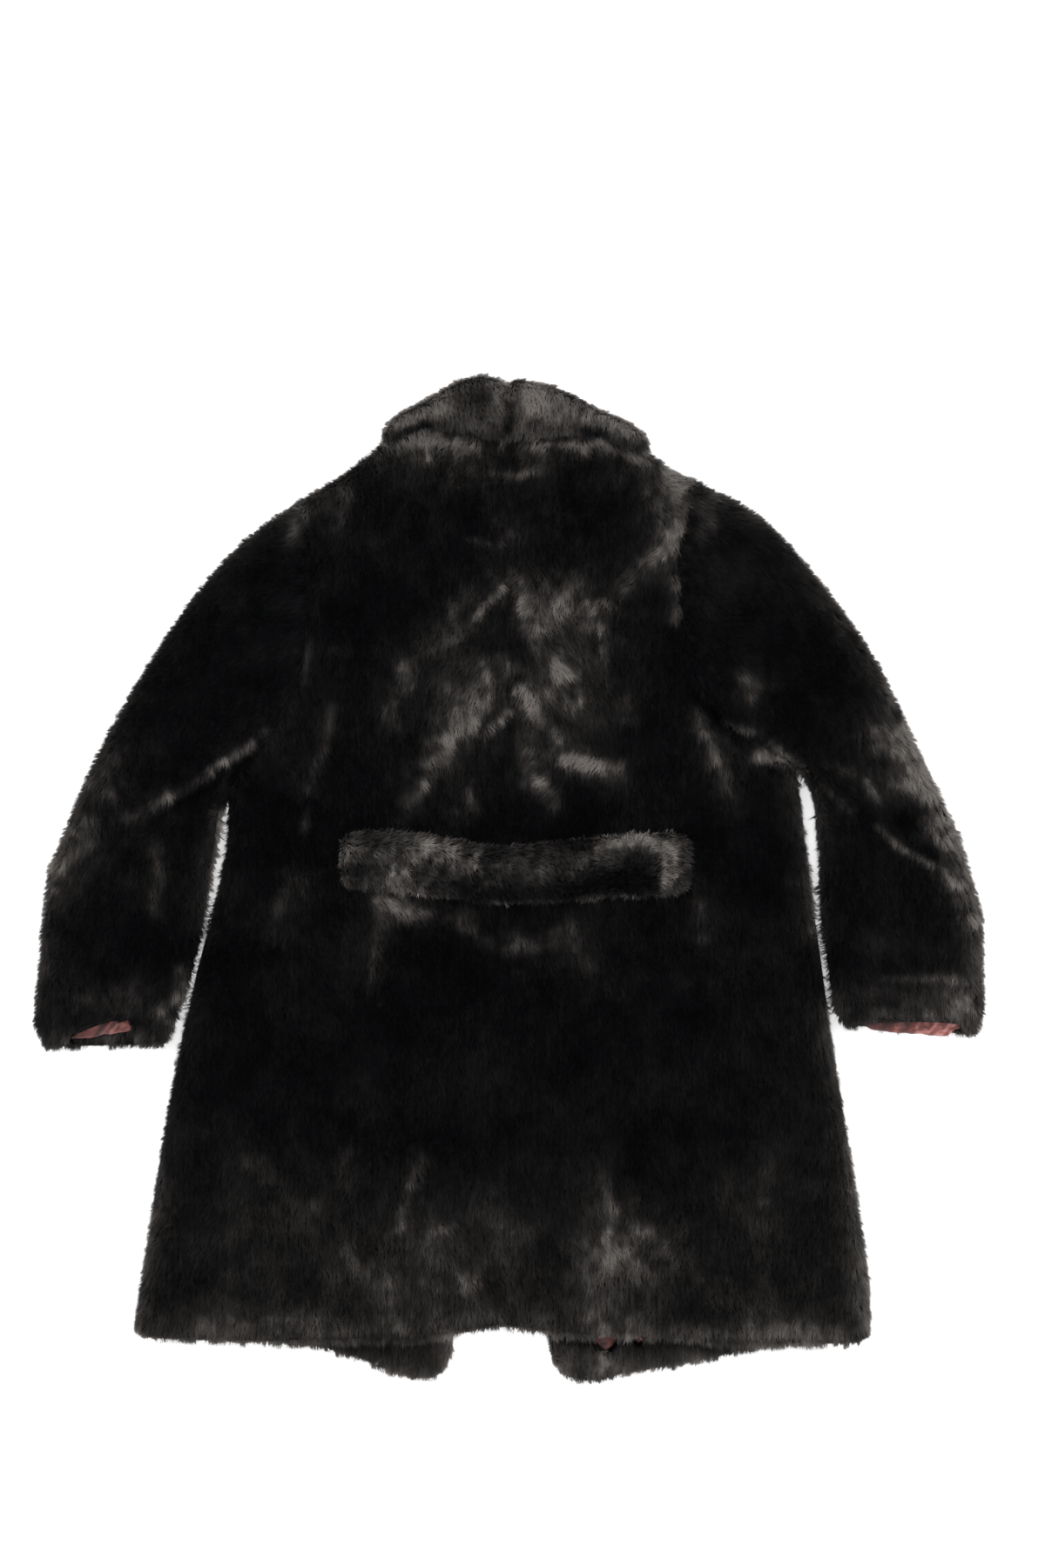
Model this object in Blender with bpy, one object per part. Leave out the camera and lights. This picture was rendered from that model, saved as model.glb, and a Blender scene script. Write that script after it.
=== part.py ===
"""Faux fur coat, laid face down with its back up: one closed solid for each cut piece.

Frame: +X is the right of the laid coat, +Y runs from the hem to the collar, +Z is up.
The coat rests on z = 0, and the middle of its plan is the origin. Sizes are millimetres here,
and metres in the meshes. "down" is the distance below the level of the collar's lower edge.
"""

import math
from bisect import bisect_right
from collections import namedtuple

import bmesh
import bpy

MM = 0.001

# Thicknesses. Faux fur is counted with its pile, standing on top and pressed flat beneath.
FUR = 14.0
PRESSED_FUR = 10.0
AIR = 3.5
HEM_FUR = 9.0
LAPEL_FUR = 7.0
COLLAR_FUR = 12.0
BELT_FUR = 12.0
LINING = 1.2
GAP = 0.3
LOOSE_GAP = 1.0

# The rounded edges of the flattened tubes.
ROLL = 18.0
EDGE_WALL = 12.5
ROLL_STEPS = 3
PIT_ROLL = 0.35
SHOULDER_EASE = 14.0
# The share of a panel's edge over which a straight armhole edge becomes a rolled side.
PIT_BLEND = 0.012
SHARP_ANGLE = 50.0

# The turned-up hems of the fronts. Round the lower corner each narrows from a corner this many
# times its depth before the front edge, to this share of its depth on that edge.
TURN_UP = {"left": 42.0, "right": 37.0}
HEM_CORNER, HEM_END = 1.6, 0.8

# The stretch of lining that shows above the right front's hem.
HEM_LINING_FROM, HEM_LINING_TO, HEM_LINING_DEPTH = 82.0, 190.0, 60.0
HEM_LINING_SEAM = 1.5

Point = namedtuple("Point", "x down")
Rib = namedtuple("Rib", "outer_x outer_down inner_x inner_down bulge")
Cuff = namedtuple(
    "Cuff", "notch_from notch_to outer_depth inner_depth outer_turn_in inner_turn_in lining_from lining_to"
)
Dip = namedtuple("Dip", "x half depth")
CollarRib = namedtuple("CollarRib", "x roll edge")
BeltRib = namedtuple("BeltRib", "x top bottom")
LapelRib = namedtuple("LapelRib", "down neckline edge")
Support = namedtuple("Support", "what x y half_x fall_x half_y fall_y rise")
Fold = namedtuple("Fold", "what x1 down1 x2 down2 width rise")

# Shoulder seams and the back neck, from the left shoulder point to the right one.
BACK_TOP = (
    Point(-209, 65), Point(-174, 44), Point(-148, 26), Point(-127, 6), Point(-108, -8),
    Point(-84, -17), Point(-57, -22), Point(-28, -22), Point(4, -19), Point(46, -18),
    Point(70, -14), Point(92, -7), Point(118, 4), Point(143, 22), Point(163, 36), Point(184, 45),
)
NECK_POINT = {"left": 3, "right": 13}

ARMHOLE = {
    "left": (
        Point(-209, 65), Point(-200, 105), Point(-198, 150), Point(-203, 205), Point(-209, 254),
        Point(-230, 292), Point(-257, 326), Point(-281, 360),
    ),
    "right": (
        Point(184, 45), Point(172, 97), Point(165, 147), Point(174, 190), Point(185, 238),
        Point(206, 280), Point(242, 308), Point(287, 333),
    ),
}
SIDE_SEAM = {
    "left": (
        Point(-281, 360), Point(-284, 416), Point(-300, 486), Point(-320, 564), Point(-338, 650),
        Point(-354, 745), Point(-366, 830), Point(-377, 897),
    ),
    "right": (
        Point(287, 333), Point(295, 390), Point(305, 472), Point(315, 545), Point(324, 610),
        Point(337, 690), Point(351, 780), Point(361, 850), Point(362, 903),
    ),
}
BACK_HEM = (
    Point(-377, 897), Point(-359, 905), Point(-317, 907), Point(-275, 909), Point(-228, 909),
    Point(-150, 907), Point(-95, 908), Point(-56, 901), Point(-16, 893), Point(34, 899),
    Point(60, 904), Point(95, 903), Point(150, 904), Point(210, 909), Point(259, 912),
    Point(310, 911), Point(345, 910), Point(362, 903),
)
# From the side seam to the front edge, round the lower corner.
FRONT_HEM = {
    "left": (
        Point(-377, 895), Point(-340, 900), Point(-275, 905), Point(-206, 912), Point(-179, 915),
        Point(-152, 925), Point(-125, 937), Point(-102, 945), Point(-81, 946), Point(-66, 939),
        Point(-58, 922),
    ),
    "right": (
        Point(362, 899), Point(330, 905), Point(259, 911), Point(208, 924), Point(171, 931),
        Point(144, 936), Point(112, 941), Point(90, 947), Point(69, 948), Point(51, 940),
        Point(42, 925),
    ),
}
# From the neck point, along the neckline to the break, and down the front edge.
FRONT_EDGE = {
    "left": (
        Point(-127, 6), Point(-118, 40), Point(-94, 100), Point(-54, 185), Point(-12, 262),
        Point(-10, 330), Point(-24, 560), Point(-46, 800), Point(-55, 880), Point(-58, 922),
    ),
    "right": (
        Point(143, 22), Point(132, 55), Point(106, 112), Point(60, 190), Point(12, 262),
        Point(10, 330), Point(16, 560), Point(28, 800), Point(36, 880), Point(42, 925),
    ),
}

# Sections of each sleeve, from the armhole to the cuff. The bulge bends a section as the armhole is.
SLEEVE = {
    "left": (
        Rib(-209, 65, -281, 360, 1.0), Rib(-268, 107, -288, 380, 0.48),
        Rib(-323, 170, -290, 398, 0.20), Rib(-377, 254, -294, 424, 0.06),
        Rib(-424, 341, -300, 460, 0.0), Rib(-463, 433, -307, 502, 0.0),
        Rib(-471, 500, -319.5, 550, 0.0), Rib(-478, 592, -333, 588, 0.0),
        Rib(-466, 615, -342, 612, 0.0),
    ),
    "right": (
        Rib(184, 45, 287, 333, 1.0), Rib(253, 82, 303, 355, 0.48),
        Rib(310, 144, 308, 382, 0.20), Rib(361, 214, 309.5, 416, 0.06),
        Rib(405, 302, 310, 455, 0.0), Rib(452, 402, 311.5, 495, 0.0),
        Rib(475, 482, 317, 538, 0.0), Rib(477, 578, 322.5, 577, 0.0),
        Rib(470, 603, 335, 593, 0.0),
    ),
}
# The back half of each cuff stops short of the front half, between two shares of its width. It is
# short by the outer depth at the first and by the inner depth at the second. The front half's fur is
# turned in before its lining starts, by two more depths, and the lining lies between two shares.
CUFF = {
    "left": Cuff(0.20, 0.75, 14.0, 33.0, 7.0, 15.0, 0.20, 0.71),
    "right": Cuff(0.08, 0.92, 14.0, 5.0, 0.5, 0.5, 0.14, 0.86),
}
NOTCH_ROUNDING = 0.15
CUFF_LINING_DEPTH = 60.0
CUFF_LINING_ROWS, CUFF_LINING_COLUMNS = 3, 8
# Where the top of the right front's turned-up hem dips and its lining shows.
HEM_DIPS = (Dip(97.0, 13.0, 9.5), Dip(131.0, 9.0, 11.5))

COLLAR = {
    "left": (
        CollarRib(-127, 1, -9), CollarRib(-120, 13, -7), CollarRib(-111, 21, -4),
        CollarRib(-98, 28, 2), CollarRib(-86, 34, 6), CollarRib(-58, 52, 6),
        CollarRib(-42, 58, 4), CollarRib(-28, 61, -1), CollarRib(-13, 58, -3), CollarRib(-2.8, 52, -4),
    ),
    "right": (
        CollarRib(-2.4, 52, -4), CollarRib(6, 57, -4), CollarRib(25, 55, -2), CollarRib(46, 49, 1),
        CollarRib(67, 39, 1), CollarRib(90, 25, -2), CollarRib(106, 19, -6), CollarRib(122, 10, -12),
        CollarRib(132, 2, -15), CollarRib(140, -6, -18),
    ),
}
# The collar's roll, and the fold of the cloth inside it, as shares of the width at each rib.
COLLAR_DROOP = 7.0
COLLAR_RADIUS, COLLAR_RADIUS_SHARE = 19.0, 0.42
COLLAR_FOLD_SHARE = 0.36
COLLAR_ROLL_STEPS = 6
# The rounded free edge: how far it swells out, at which share of the thickness, and how far in from
# the edge the full thickness starts.
EDGE_SWELL, EDGE_SWELL_HEIGHT, EDGE_SHARE = 1.5, 0.6, 0.12
FULL_SHARE = 0.6

LAPEL = {
    "left": (
        LapelRib(34, -119, -132), LapelRib(64, -108, -148), LapelRib(104, -92, -152),
        LapelRib(150, -70, -140), LapelRib(200, -47, -108), LapelRib(252, -17, -38),
    ),
    "right": (
        LapelRib(50, 134, 148), LapelRib(76, 123, 158), LapelRib(112, 106, 160),
        LapelRib(154, 81, 146), LapelRib(202, 53, 112), LapelRib(252, 18, 40),
    ),
}

HALF_BELT = (
    BeltRib(-168, 406, 447), BeltRib(-162, 401, 452), BeltRib(-138, 397, 454),
    BeltRib(-101, 399, 456), BeltRib(-60, 405, 461), BeltRib(-24, 413, 466), BeltRib(20, 411, 467),
    BeltRib(68, 405, 463), BeltRib(120, 400, 461), BeltRib(160, 398, 459), BeltRib(173, 401, 454),
    BeltRib(179, 409, 442),
)

# The belt's height across its width, as shares of its thickness, and its ends' share of that.
BELT_CROWN = ((0.0, 0.45), (0.12, 0.85), (0.5, 1.0), (0.88, 0.85), (1.0, 0.45))
BELT_END = 0.6

# How far beyond a lapel its front is lifted, and how far the lift takes to fade.
LAPEL_MARGIN, LAPEL_FALL = 34.0, 30.0

# What lies beneath lifts the back: the lapels at the chest, and the turned-up hems.
SUPPORTS = (
    Support("lapels", 6, -140, 205, 60, 120, 110, 8.0),
    Support("turned-up hems", -4, -905, 374, 30, 50, 125, 7.0),
    Support("full skirt", -4, -660, 150, 180, 120, 170, 3.0),
)
NECK_HOLLOW = Support("open neck", 6, 20, 30, 80, 30, 75, -9.0)
FOLDS = (
    Fold("left armhole", -236, 290, -355, 368, 20, 4.0),
    Fold("right underarm", 205, 276, 292, 332, 15, -2.6),
    Fold("right elbow", 300, 342, 462, 474, 20, 4.0),
    Fold("upper back, left arm", -8, 152, -80, 216, 24, 2.6),
    Fold("upper back, right arm", 6, 154, 34, 208, 24, 2.4),
    Fold("above the belt, left", -72, 240, -36, 318, 26, 2.6),
    Fold("above the belt, right", 52, 326, 118, 352, 24, 2.6),
    Fold("left skirt", -140, 470, -126, 560, 20, 2.4),
    Fold("left hem", -112, 728, -84, 792, 26, 2.6),
    Fold("right hem", 74, 800, 168, 846, 30, 2.6),
)

SKIRT_TOP = 0.36
SKIRT_ROWS = 12
BACK_COLUMNS, FRONT_COLUMNS = 16, 6
ARMHOLE_COLUMNS = 8
# Rows between each two ribs of a sleeve, from the armhole down.
SLEEVE_ROWS = (3, 2, 2, 2, 1, 1, 1, 1)
HEM_COLUMNS = 34
HEM_ROWS = 2
LAPEL_COLUMNS = 3
SIDES = ("left", "right")


def ease(share):
    """0 to 1, with level ends."""
    share = min(max(share, 0.0), 1.0)
    return share * share * (3.0 - 2.0 * share)


def plateau(offset, half, fall):
    """1 within half of the middle, easing to 0 over fall."""
    return ease(1.0 - (abs(offset) - half) / fall)


def mix(a, b, share):
    return a + (b - a) * share


def read_table(stations, values, at):
    """The value at a station of a table, straight between its rows and level past its ends."""
    if at <= stations[0]:
        return values[0]
    if at >= stations[-1]:
        return values[-1]
    after = bisect_right(stations, at)
    share = (at - stations[after - 1]) / (stations[after] - stations[after - 1])
    return mix(values[after - 1], values[after], share)


class Curve:
    """A smooth curve through points, read by the share of its length."""

    def __init__(self, points):
        self.points = [(float(p.x), -float(p.down)) for p in points]
        self.stations = [0.0]
        for a, b in zip(self.points, self.points[1:]):
            self.stations.append(self.stations[-1] + math.dist(a, b))
        self.length = self.stations[-1]
        last = len(self.points) - 1
        self.slopes = []
        for i in range(last + 1):
            a, b = max(i - 1, 0), min(i + 1, last)
            span = self.stations[b] - self.stations[a]
            self.slopes.append([(self.points[b][k] - self.points[a][k]) / span for k in (0, 1)])

    def at(self, share):
        along = min(max(share, 0.0), 1.0) * self.length
        i = min(max(bisect_right(self.stations, along) - 1, 0), len(self.points) - 2)
        span = self.stations[i + 1] - self.stations[i]
        t = (along - self.stations[i]) / span
        start, end = 2 * t**3 - 3 * t**2 + 1, 3 * t**2 - 2 * t**3
        leave, arrive = (t**3 - 2 * t**2 + t) * span, (t**3 - t**2) * span
        return tuple(
            start * self.points[i][k] + end * self.points[i + 1][k]
            + leave * self.slopes[i][k] + arrive * self.slopes[i + 1][k]
            for k in (0, 1)
        )


def fold_height(fold, x, y):
    """A soft ridge or trough along a line, fading at both ends."""
    run_x, run_y = fold.x2 - fold.x1, fold.down1 - fold.down2
    length = math.hypot(run_x, run_y)
    off_x, off_y = x - fold.x1, y + fold.down1
    along = (off_x * run_x + off_y * run_y) / length
    across = (off_x * run_y - off_y * run_x) / length
    past = max(-along, along - length, 0.0)
    return fold.rise * math.exp(-(across**2 + past**2) / fold.width**2)


def coat_top(x, y):
    """The height of the back and of the sleeves' upper side."""
    lift = max(
        s.rise * plateau(x - s.x, s.half_x, s.fall_x) * plateau(y - s.y, s.half_y, s.fall_y)
        for s in SUPPORTS
    )
    n = NECK_HOLLOW
    hollow = n.rise * plateau(x - n.x, n.half_x, n.fall_x) * plateau(y - n.y, n.half_y, n.fall_y)
    folds = sum(fold_height(fold, x, y) for fold in FOLDS)
    return PRESSED_FUR + AIR + FUR + lift + hollow + folds


def seam_height(x, y):
    """Half-way up the edge, where the back meets the fronts."""
    return coat_top(x, y) / 2


def front_underside(x, y):
    """The fronts lie on the floor, and over the lapels beneath them."""
    ribs = LAPEL["left" if x < 0 else "right"]
    downs = [rib.down for rib in ribs]
    edge = read_table(downs, [abs(rib.edge) for rib in ribs], -y)
    middle, half = (downs[0] + downs[-1]) / 2, (downs[-1] - downs[0]) / 2
    across = ease(1.0 - (abs(x) - edge - LAPEL_MARGIN) / LAPEL_MARGIN)
    along = plateau(-y - middle, half + LAPEL_MARGIN, LAPEL_FALL)
    return (LAPEL_FUR + GAP) * across * along


def front_inside(x, y):
    return front_underside(x, y) + PRESSED_FUR


def roll_angles():
    return [math.pi / 2 * step / ROLL_STEPS for step in range(ROLL_STEPS + 1)]


def body_edge(side, share):
    """A side of the body's plan: the armhole, then the side seam."""
    if share < SKIRT_TOP:
        return ARMHOLE_CURVE[side].at(share / SKIRT_TOP)
    return SIDE_CURVE[side].at((share - SKIRT_TOP) / (1.0 - SKIRT_TOP))


def coons(top, bottom, left, right, u, v):
    """The point of a panel stretched between its four edges."""
    upper, lower, start, end = top(u), bottom(u), left(v), right(v)
    corners = (top(0.0), top(1.0), bottom(0.0), bottom(1.0))
    weights = ((1 - u) * (1 - v), u * (1 - v), (1 - u) * v, u * v)
    return tuple(
        mix(upper[k], lower[k], v) + mix(start[k], end[k], u)
        - sum(weight * corner[k] for weight, corner in zip(weights, corners))
        for k in (0, 1)
    )


def near_pit(x, y):
    """How far the surface has risen at this distance from the underarm points."""
    rise = 1.0
    for side in SIDES:
        pit_x, pit_y = ARMHOLE_CURVE[side].at(1.0)
        past = 1.0 - min(math.hypot(x - pit_x, y - pit_y) / ROLL, 1.0)
        rise = min(rise, max(math.sqrt(1.0 - past * past), PIT_ROLL))
    return rise


def make_mesh_object(name, points, faces, material):
    mesh = bpy.data.meshes.new(name)
    mesh.from_pydata([(x * MM, y * MM, z * MM) for x, y, z in points], [], faces)
    work = bmesh.new()
    work.from_mesh(mesh)
    bmesh.ops.recalc_face_normals(work, faces=work.faces)
    work.to_mesh(mesh)
    work.free()
    mesh.shade_smooth()
    mesh.set_sharp_from_angle(angle=math.radians(SHARP_ANGLE))
    mesh.materials.append(material)
    piece = bpy.data.objects.new(name, mesh)
    bpy.context.scene.collection.objects.link(piece)
    return piece


def walled_grid(name, outer, inner, material, tube=False):
    """A closed wall between two grids of points with the same rows and columns."""
    rows, columns = len(outer), len(outer[0])
    points = [p for row in outer for p in row] + [p for row in inner for p in row]
    half = rows * columns
    steps = columns if tube else columns - 1
    faces = []
    for r in range(rows - 1):
        for c in range(steps):
            a, b = r * columns + c, r * columns + (c + 1) % columns
            ring = (a, b, b + columns, a + columns)
            faces.append(ring)
            faces.append(tuple(half + i for i in reversed(ring)))
    for r in (0, rows - 1):
        for c in range(steps):
            a, b = r * columns + c, r * columns + (c + 1) % columns
            faces.append((a, b, half + b, half + a) if r else (b, a, half + a, half + b))
    if not tube:
        for c in (0, columns - 1):
            for r in range(rows - 1):
                a, b = r * columns + c, (r + 1) * columns + c
                faces.append((b, a, half + a, half + b) if c else (a, b, half + b, half + a))
    return make_mesh_object(name, points, faces, material)


def lofted_loops(name, loops, material):
    """A closed solid through loops of points, with a flat end on each of the two last loops."""
    count = len(loops[0])
    points = [p for loop in loops for p in loop]
    faces = []
    for r in range(len(loops) - 1):
        for c in range(count):
            a, b = r * count + c, r * count + (c + 1) % count
            faces.append((a, b, b + count, a + count))
    last = (len(loops) - 1) * count
    faces.append(tuple(reversed(range(count))))
    faces.append(tuple(range(last, last + count)))
    return make_mesh_object(name, points, faces, material)


def tube_stations(width, wall):
    """Stations across a flattened tube, close together on its rolls, as (share, share of the roll)."""
    reach = ROLL - wall
    edge = [((wall + reach * (1 - math.cos(a))) / width, math.sin(a)) for a in roll_angles()]
    start, steps = edge[-1][0], ARMHOLE_COLUMNS
    flat = [(mix(start, 1 - start, i / steps), 1.0) for i in range(1, steps)]
    return edge + flat + [(1 - share, rise) for share, rise in reversed(edge)]


def panel_rows():
    """Rows of a panel as (share down the edge, share of the shoulder's roll)."""
    rows = []
    for share, rise in tube_stations(ARMHOLE_LENGTH, 0.0):
        rows.append((share * SKIRT_TOP, rise if share < 0.5 else 1.0))
    for step in range(1, SKIRT_ROWS + 1):
        rows.append((mix(SKIRT_TOP, 1.0, step / SKIRT_ROWS), 1.0))
    return rows


def edge_columns(width, wall, rolled):
    """Columns in from a rolled edge, as (share of the width, share of the roll)."""
    found = []
    for angle in roll_angles():
        reach = mix(ROLL * (1 - math.cos(angle)), wall + (ROLL - wall) * (1 - math.cos(angle)), rolled)
        found.append((reach / width, mix(1.0, math.sin(angle), rolled)))
    return found


def shoulder_roll(x):
    """1 on the shoulders, and 0 along the neck seam."""
    left, right = BACK_TOP[NECK_POINT["left"]].x, BACK_TOP[NECK_POINT["right"]].x
    return max(ease((left - x) / SHOULDER_EASE), ease((x - right) / SHOULDER_EASE))


def panel_point(edges, u, v, rise, face, inset_v):
    """A point of a panel: its plan place, and its height between the seam and its face."""
    x, y = coons(*edges, u, v)
    on_shoulder = shoulder_roll(x)
    if inset_v:
        x, y = coons(*edges, u, v + inset_v * on_shoulder)
    side_rise, top_rise = rise
    share = min(side_rise, mix(1.0, top_rise, on_shoulder), near_pit(x, y))
    seam = seam_height(x, y)
    return x, y, seam, share, face(x, y)


def panel(name, edges, face, back_face, columns, rolls, seam_side, material):
    """A back or front panel: a wall whose rolled sides turn towards the seam.

    rolls says which of its two sides are rolled. seam_side is +1 above the seam and -1 below it.
    """
    outer, inner = [], []
    length = ARMHOLE_LENGTH / SKIRT_TOP
    for v, top_rise in panel_rows():
        width = math.dist(edges[2](v), edges[3](v))
        below_pit = ease((v - SKIRT_TOP) / PIT_BLEND)
        grids = []
        for is_inner in (False, True):
            wall = EDGE_WALL if is_inner else 0.0
            side = edge_columns(width, wall, below_pit)
            start = side if rolls[0] else [(0.0, 1.0)]
            end = [(1.0 - u, s) for u, s in reversed(side)] if rolls[1] else [(1.0, 1.0)]
            a, b = start[-1][0], end[0][0]
            middle = [(mix(a, b, i / columns), 1.0) for i in range(1, columns)]
            grids.append(start + middle + end)
        inset = EDGE_WALL / length * (1.0 - v / panel_rows()[ROLL_STEPS][0]) if top_rise < 1 else 0.0
        row_out, row_in = [], []
        for (u_out, s_out), (u_in, s_in) in zip(*grids):
            x, y, seam, share, top = panel_point(edges, u_out, v, (s_out, top_rise), face, 0.0)
            row_out.append((x, y, mix(seam + seam_side * GAP / 2, top, share)))
            x, y, seam, share, top = panel_point(edges, u_in, v, (s_in, top_rise), back_face, inset)
            row_in.append((x, y, mix(seam + seam_side * GAP / 2, top, share)))
        outer.append(row_out)
        inner.append(row_in)
    return walled_grid(name, outer, inner, material)


def make_back(material):
    edges = (
        BACK_TOP_CURVE.at, BACK_HEM_CURVE.at,
        lambda v: body_edge("left", v), lambda v: body_edge("right", v),
    )
    underside = lambda x, y: coat_top(x, y) - FUR
    return panel("back", edges, coat_top, underside, BACK_COLUMNS, (True, True), 1, material)


def front_edges(side):
    """The four edges of a front: shoulder, hem, armhole with side seam, and neckline with front edge."""
    neck = NECK_POINT[side]
    points = BACK_TOP[: neck + 1] if side == "left" else tuple(reversed(BACK_TOP[neck:]))
    shoulder, hem, edge = Curve(points), Curve(FRONT_HEM[side]), Curve(FRONT_EDGE[side])
    return shoulder.at, hem.at, lambda v: body_edge(side, v), edge.at


def make_front(side, material):
    edges = front_edges(side)
    return panel(
        f"front_{side}", edges, front_underside, front_inside, FRONT_COLUMNS, (True, False), -1, material
    )


def hem_dip(side, x):
    """How far the top of a front's turned-up hem sags here."""
    if side == "left":
        return 0.0
    return sum(dip.depth * ease(2.0 * (1.0 - abs(x - dip.x) / dip.half)) for dip in HEM_DIPS)


def hem_lines(side):
    """The lower and upper edges of a front's turned-up hem, narrowing round the lower corner."""
    hem, edge, depth = Curve(FRONT_HEM[side]), Curve(FRONT_EDGE[side]), TURN_UP[side]
    start, corner = (ROLL + EDGE_WALL) / hem.length, 1.0 - HEM_CORNER * depth / hem.length
    corner_x, corner_y = hem.at(corner)
    end_x, end_y = edge.at(1.0 - HEM_END * depth / edge.length)
    lower, upper = [], []
    for i in range(HEM_COLUMNS + 1):
        share = mix(start, 1.0, i / HEM_COLUMNS)
        x, y = hem.at(share)
        past = max(share - corner, 0.0) / (1.0 - corner)
        top_x, top_y = x, y + depth
        if past > 0.0:
            top_x, top_y = mix(corner_x, end_x, past), mix(corner_y + depth, end_y, past)
        lower.append((x, y))
        upper.append((top_x, top_y - hem_dip(side, top_x)))
    return lower, upper


def make_front_hem(side, material):
    """The hem turned up on the inside of a front."""
    lower, upper = hem_lines(side)
    rows = []
    for level in range(HEM_ROWS + 1):
        up = level / HEM_ROWS
        rows.append([(mix(x, top_x, up), mix(y, top_y, up)) for (x, y), (top_x, top_y) in zip(lower, upper)])
    return flat_sheet(f"front_hem_{side}", rows, PRESSED_FUR + GAP, HEM_FUR, material)


def flat_sheet(name, rows, bottom, thickness, material):
    """A flat piece of even thickness through rows of plan points."""
    outer = [[(x, y, bottom + thickness) for x, y in row] for row in rows]
    inner = [[(x, y, bottom) for x, y in row] for row in rows]
    return walled_grid(name, outer, inner, material)


def make_front_lining(material):
    """The lower edge of the right front's lining, along the top of its turned-up hem."""
    _, hem_top = hem_lines("right")
    line = [(x, y) for x, y in hem_top if HEM_LINING_FROM <= x <= HEM_LINING_TO]
    lower = [(x, y + HEM_LINING_SEAM) for x, y in line]
    upper = [(x, y + HEM_LINING_DEPTH + hem_dip("right", x)) for x, y in line]
    return flat_sheet("lining_front_right", [lower, upper], PRESSED_FUR + GAP, LINING, material)


def sleeve_plan(side, rib):
    """A section's line across a sleeve, from its outer edge to its inner edge."""
    start, end = (rib.outer_x, -rib.outer_down), (rib.inner_x, -rib.inner_down)
    armhole = ARMHOLE_CURVE[side]
    first, last = armhole.at(0.0), armhole.at(1.0)

    def at(share):
        bend = armhole.at(share)
        return tuple(
            mix(start[k], end[k], share) + rib.bulge * (bend[k] - mix(first[k], last[k], share))
            for k in (0, 1)
        )

    return at, mix(math.dist(start, end), ARMHOLE_LENGTH, rib.bulge)


def cuff_notch(side, share):
    """How far the back half of a cuff stops short of its front half here."""
    cuff = CUFF[side]
    span = min(max((share - cuff.notch_from) / (cuff.notch_to - cuff.notch_from), 0.0), 1.0)
    return mix(cuff.outer_depth, cuff.inner_depth, span) * math.sin(math.pi * span) ** NOTCH_ROUNDING


def sleeve_loop(side, rib, wall, along):
    """The outer loop of a section, or its inner loop if wall isn't 0.

    along is 1 at the cuff and 0 or less above its last rib.
    """
    at, width = sleeve_plan(side, rib)
    over = tube_stations(width, wall)
    over_fur, under_fur = (FUR, PRESSED_FUR) if wall else (0.0, 0.0)
    loop = []
    for share, rise in over:
        x, y = at(share)
        z = mix(seam_height(x, y), coat_top(x, y) - over_fur, rise)
        loop.append((x, y + cuff_notch(side, share) * ease(along), z))
    for share, rise in reversed(over[1:-1]):
        x, y = at(share)
        loop.append((x, y, mix(seam_height(x, y), under_fur, rise)))
    return loop


def between_ribs(ribs, at):
    """A section part of the way between two ribs, on smooth curves through them all."""
    i = min(int(at), len(ribs) - 2)
    t = at - i
    before, after = max(i - 1, 0), min(i + 2, len(ribs) - 1)
    values = []
    for p, q, r, s in zip(ribs[before], ribs[i], ribs[i + 1], ribs[after]):
        leave, arrive = (r - p) / 2, (s - q) / 2
        bend = (t**3 - 2 * t**2 + t) * leave + (t**3 - t**2) * arrive
        values.append(mix(q, r, 3 * t**2 - 2 * t**3) + bend)
    return Rib(*values)


def make_sleeve(side, material):
    """A flattened tube, open at the armhole and at the cuff."""
    last = len(SLEEVE_ROWS)
    stations = [i + step / rows for i, rows in enumerate(SLEEVE_ROWS) for step in range(rows)] + [last]
    away = (-1 if side == "left" else 1) * LOOSE_GAP
    outer, inner = [], []
    for at in stations:
        rib = between_ribs(SLEEVE[side], at)
        shift = 0.0 if at else away
        for grid, wall in ((outer, 0.0), (inner, EDGE_WALL)):
            loop = sleeve_loop(side, rib, wall, at - last + 1)
            grid.append([(x + shift, y, z) for x, y, z in loop])
    return walled_grid(f"sleeve_{side}", outer, inner, material, tube=True)


def make_cuff_lining(side, material):
    """The lining on the front half of a cuff, up from its turned-in edge."""
    end, above, cuff = SLEEVE[side][-1], SLEEVE[side][-3], CUFF[side]
    run_x = (above.outer_x + above.inner_x - end.outer_x - end.inner_x) / 2
    run_y = (end.outer_down + end.inner_down - above.outer_down - above.inner_down) / 2
    length = math.hypot(run_x, run_y)
    rows = []
    for step in range(CUFF_LINING_ROWS + 1):
        row = []
        for i in range(CUFF_LINING_COLUMNS + 1):
            turn_in = mix(cuff.outer_turn_in, cuff.inner_turn_in, i / CUFF_LINING_COLUMNS)
            up = mix(turn_in, CUFF_LINING_DEPTH, step / CUFF_LINING_ROWS)
            share = mix(cuff.lining_from, cuff.lining_to, i / CUFF_LINING_COLUMNS)
            x = mix(end.outer_x, end.inner_x, share) + run_x / length * up
            y = run_y / length * up - mix(end.outer_down, end.inner_down, share)
            row.append((x, y))
        rows.append(row)
    return flat_sheet(f"cuff_lining_{side}", rows, PRESSED_FUR + GAP, LINING, material)


def collar_underside(x, y):
    """The height at which the collar lies on the back."""
    return coat_top(x, y) + LOOSE_GAP


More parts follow.
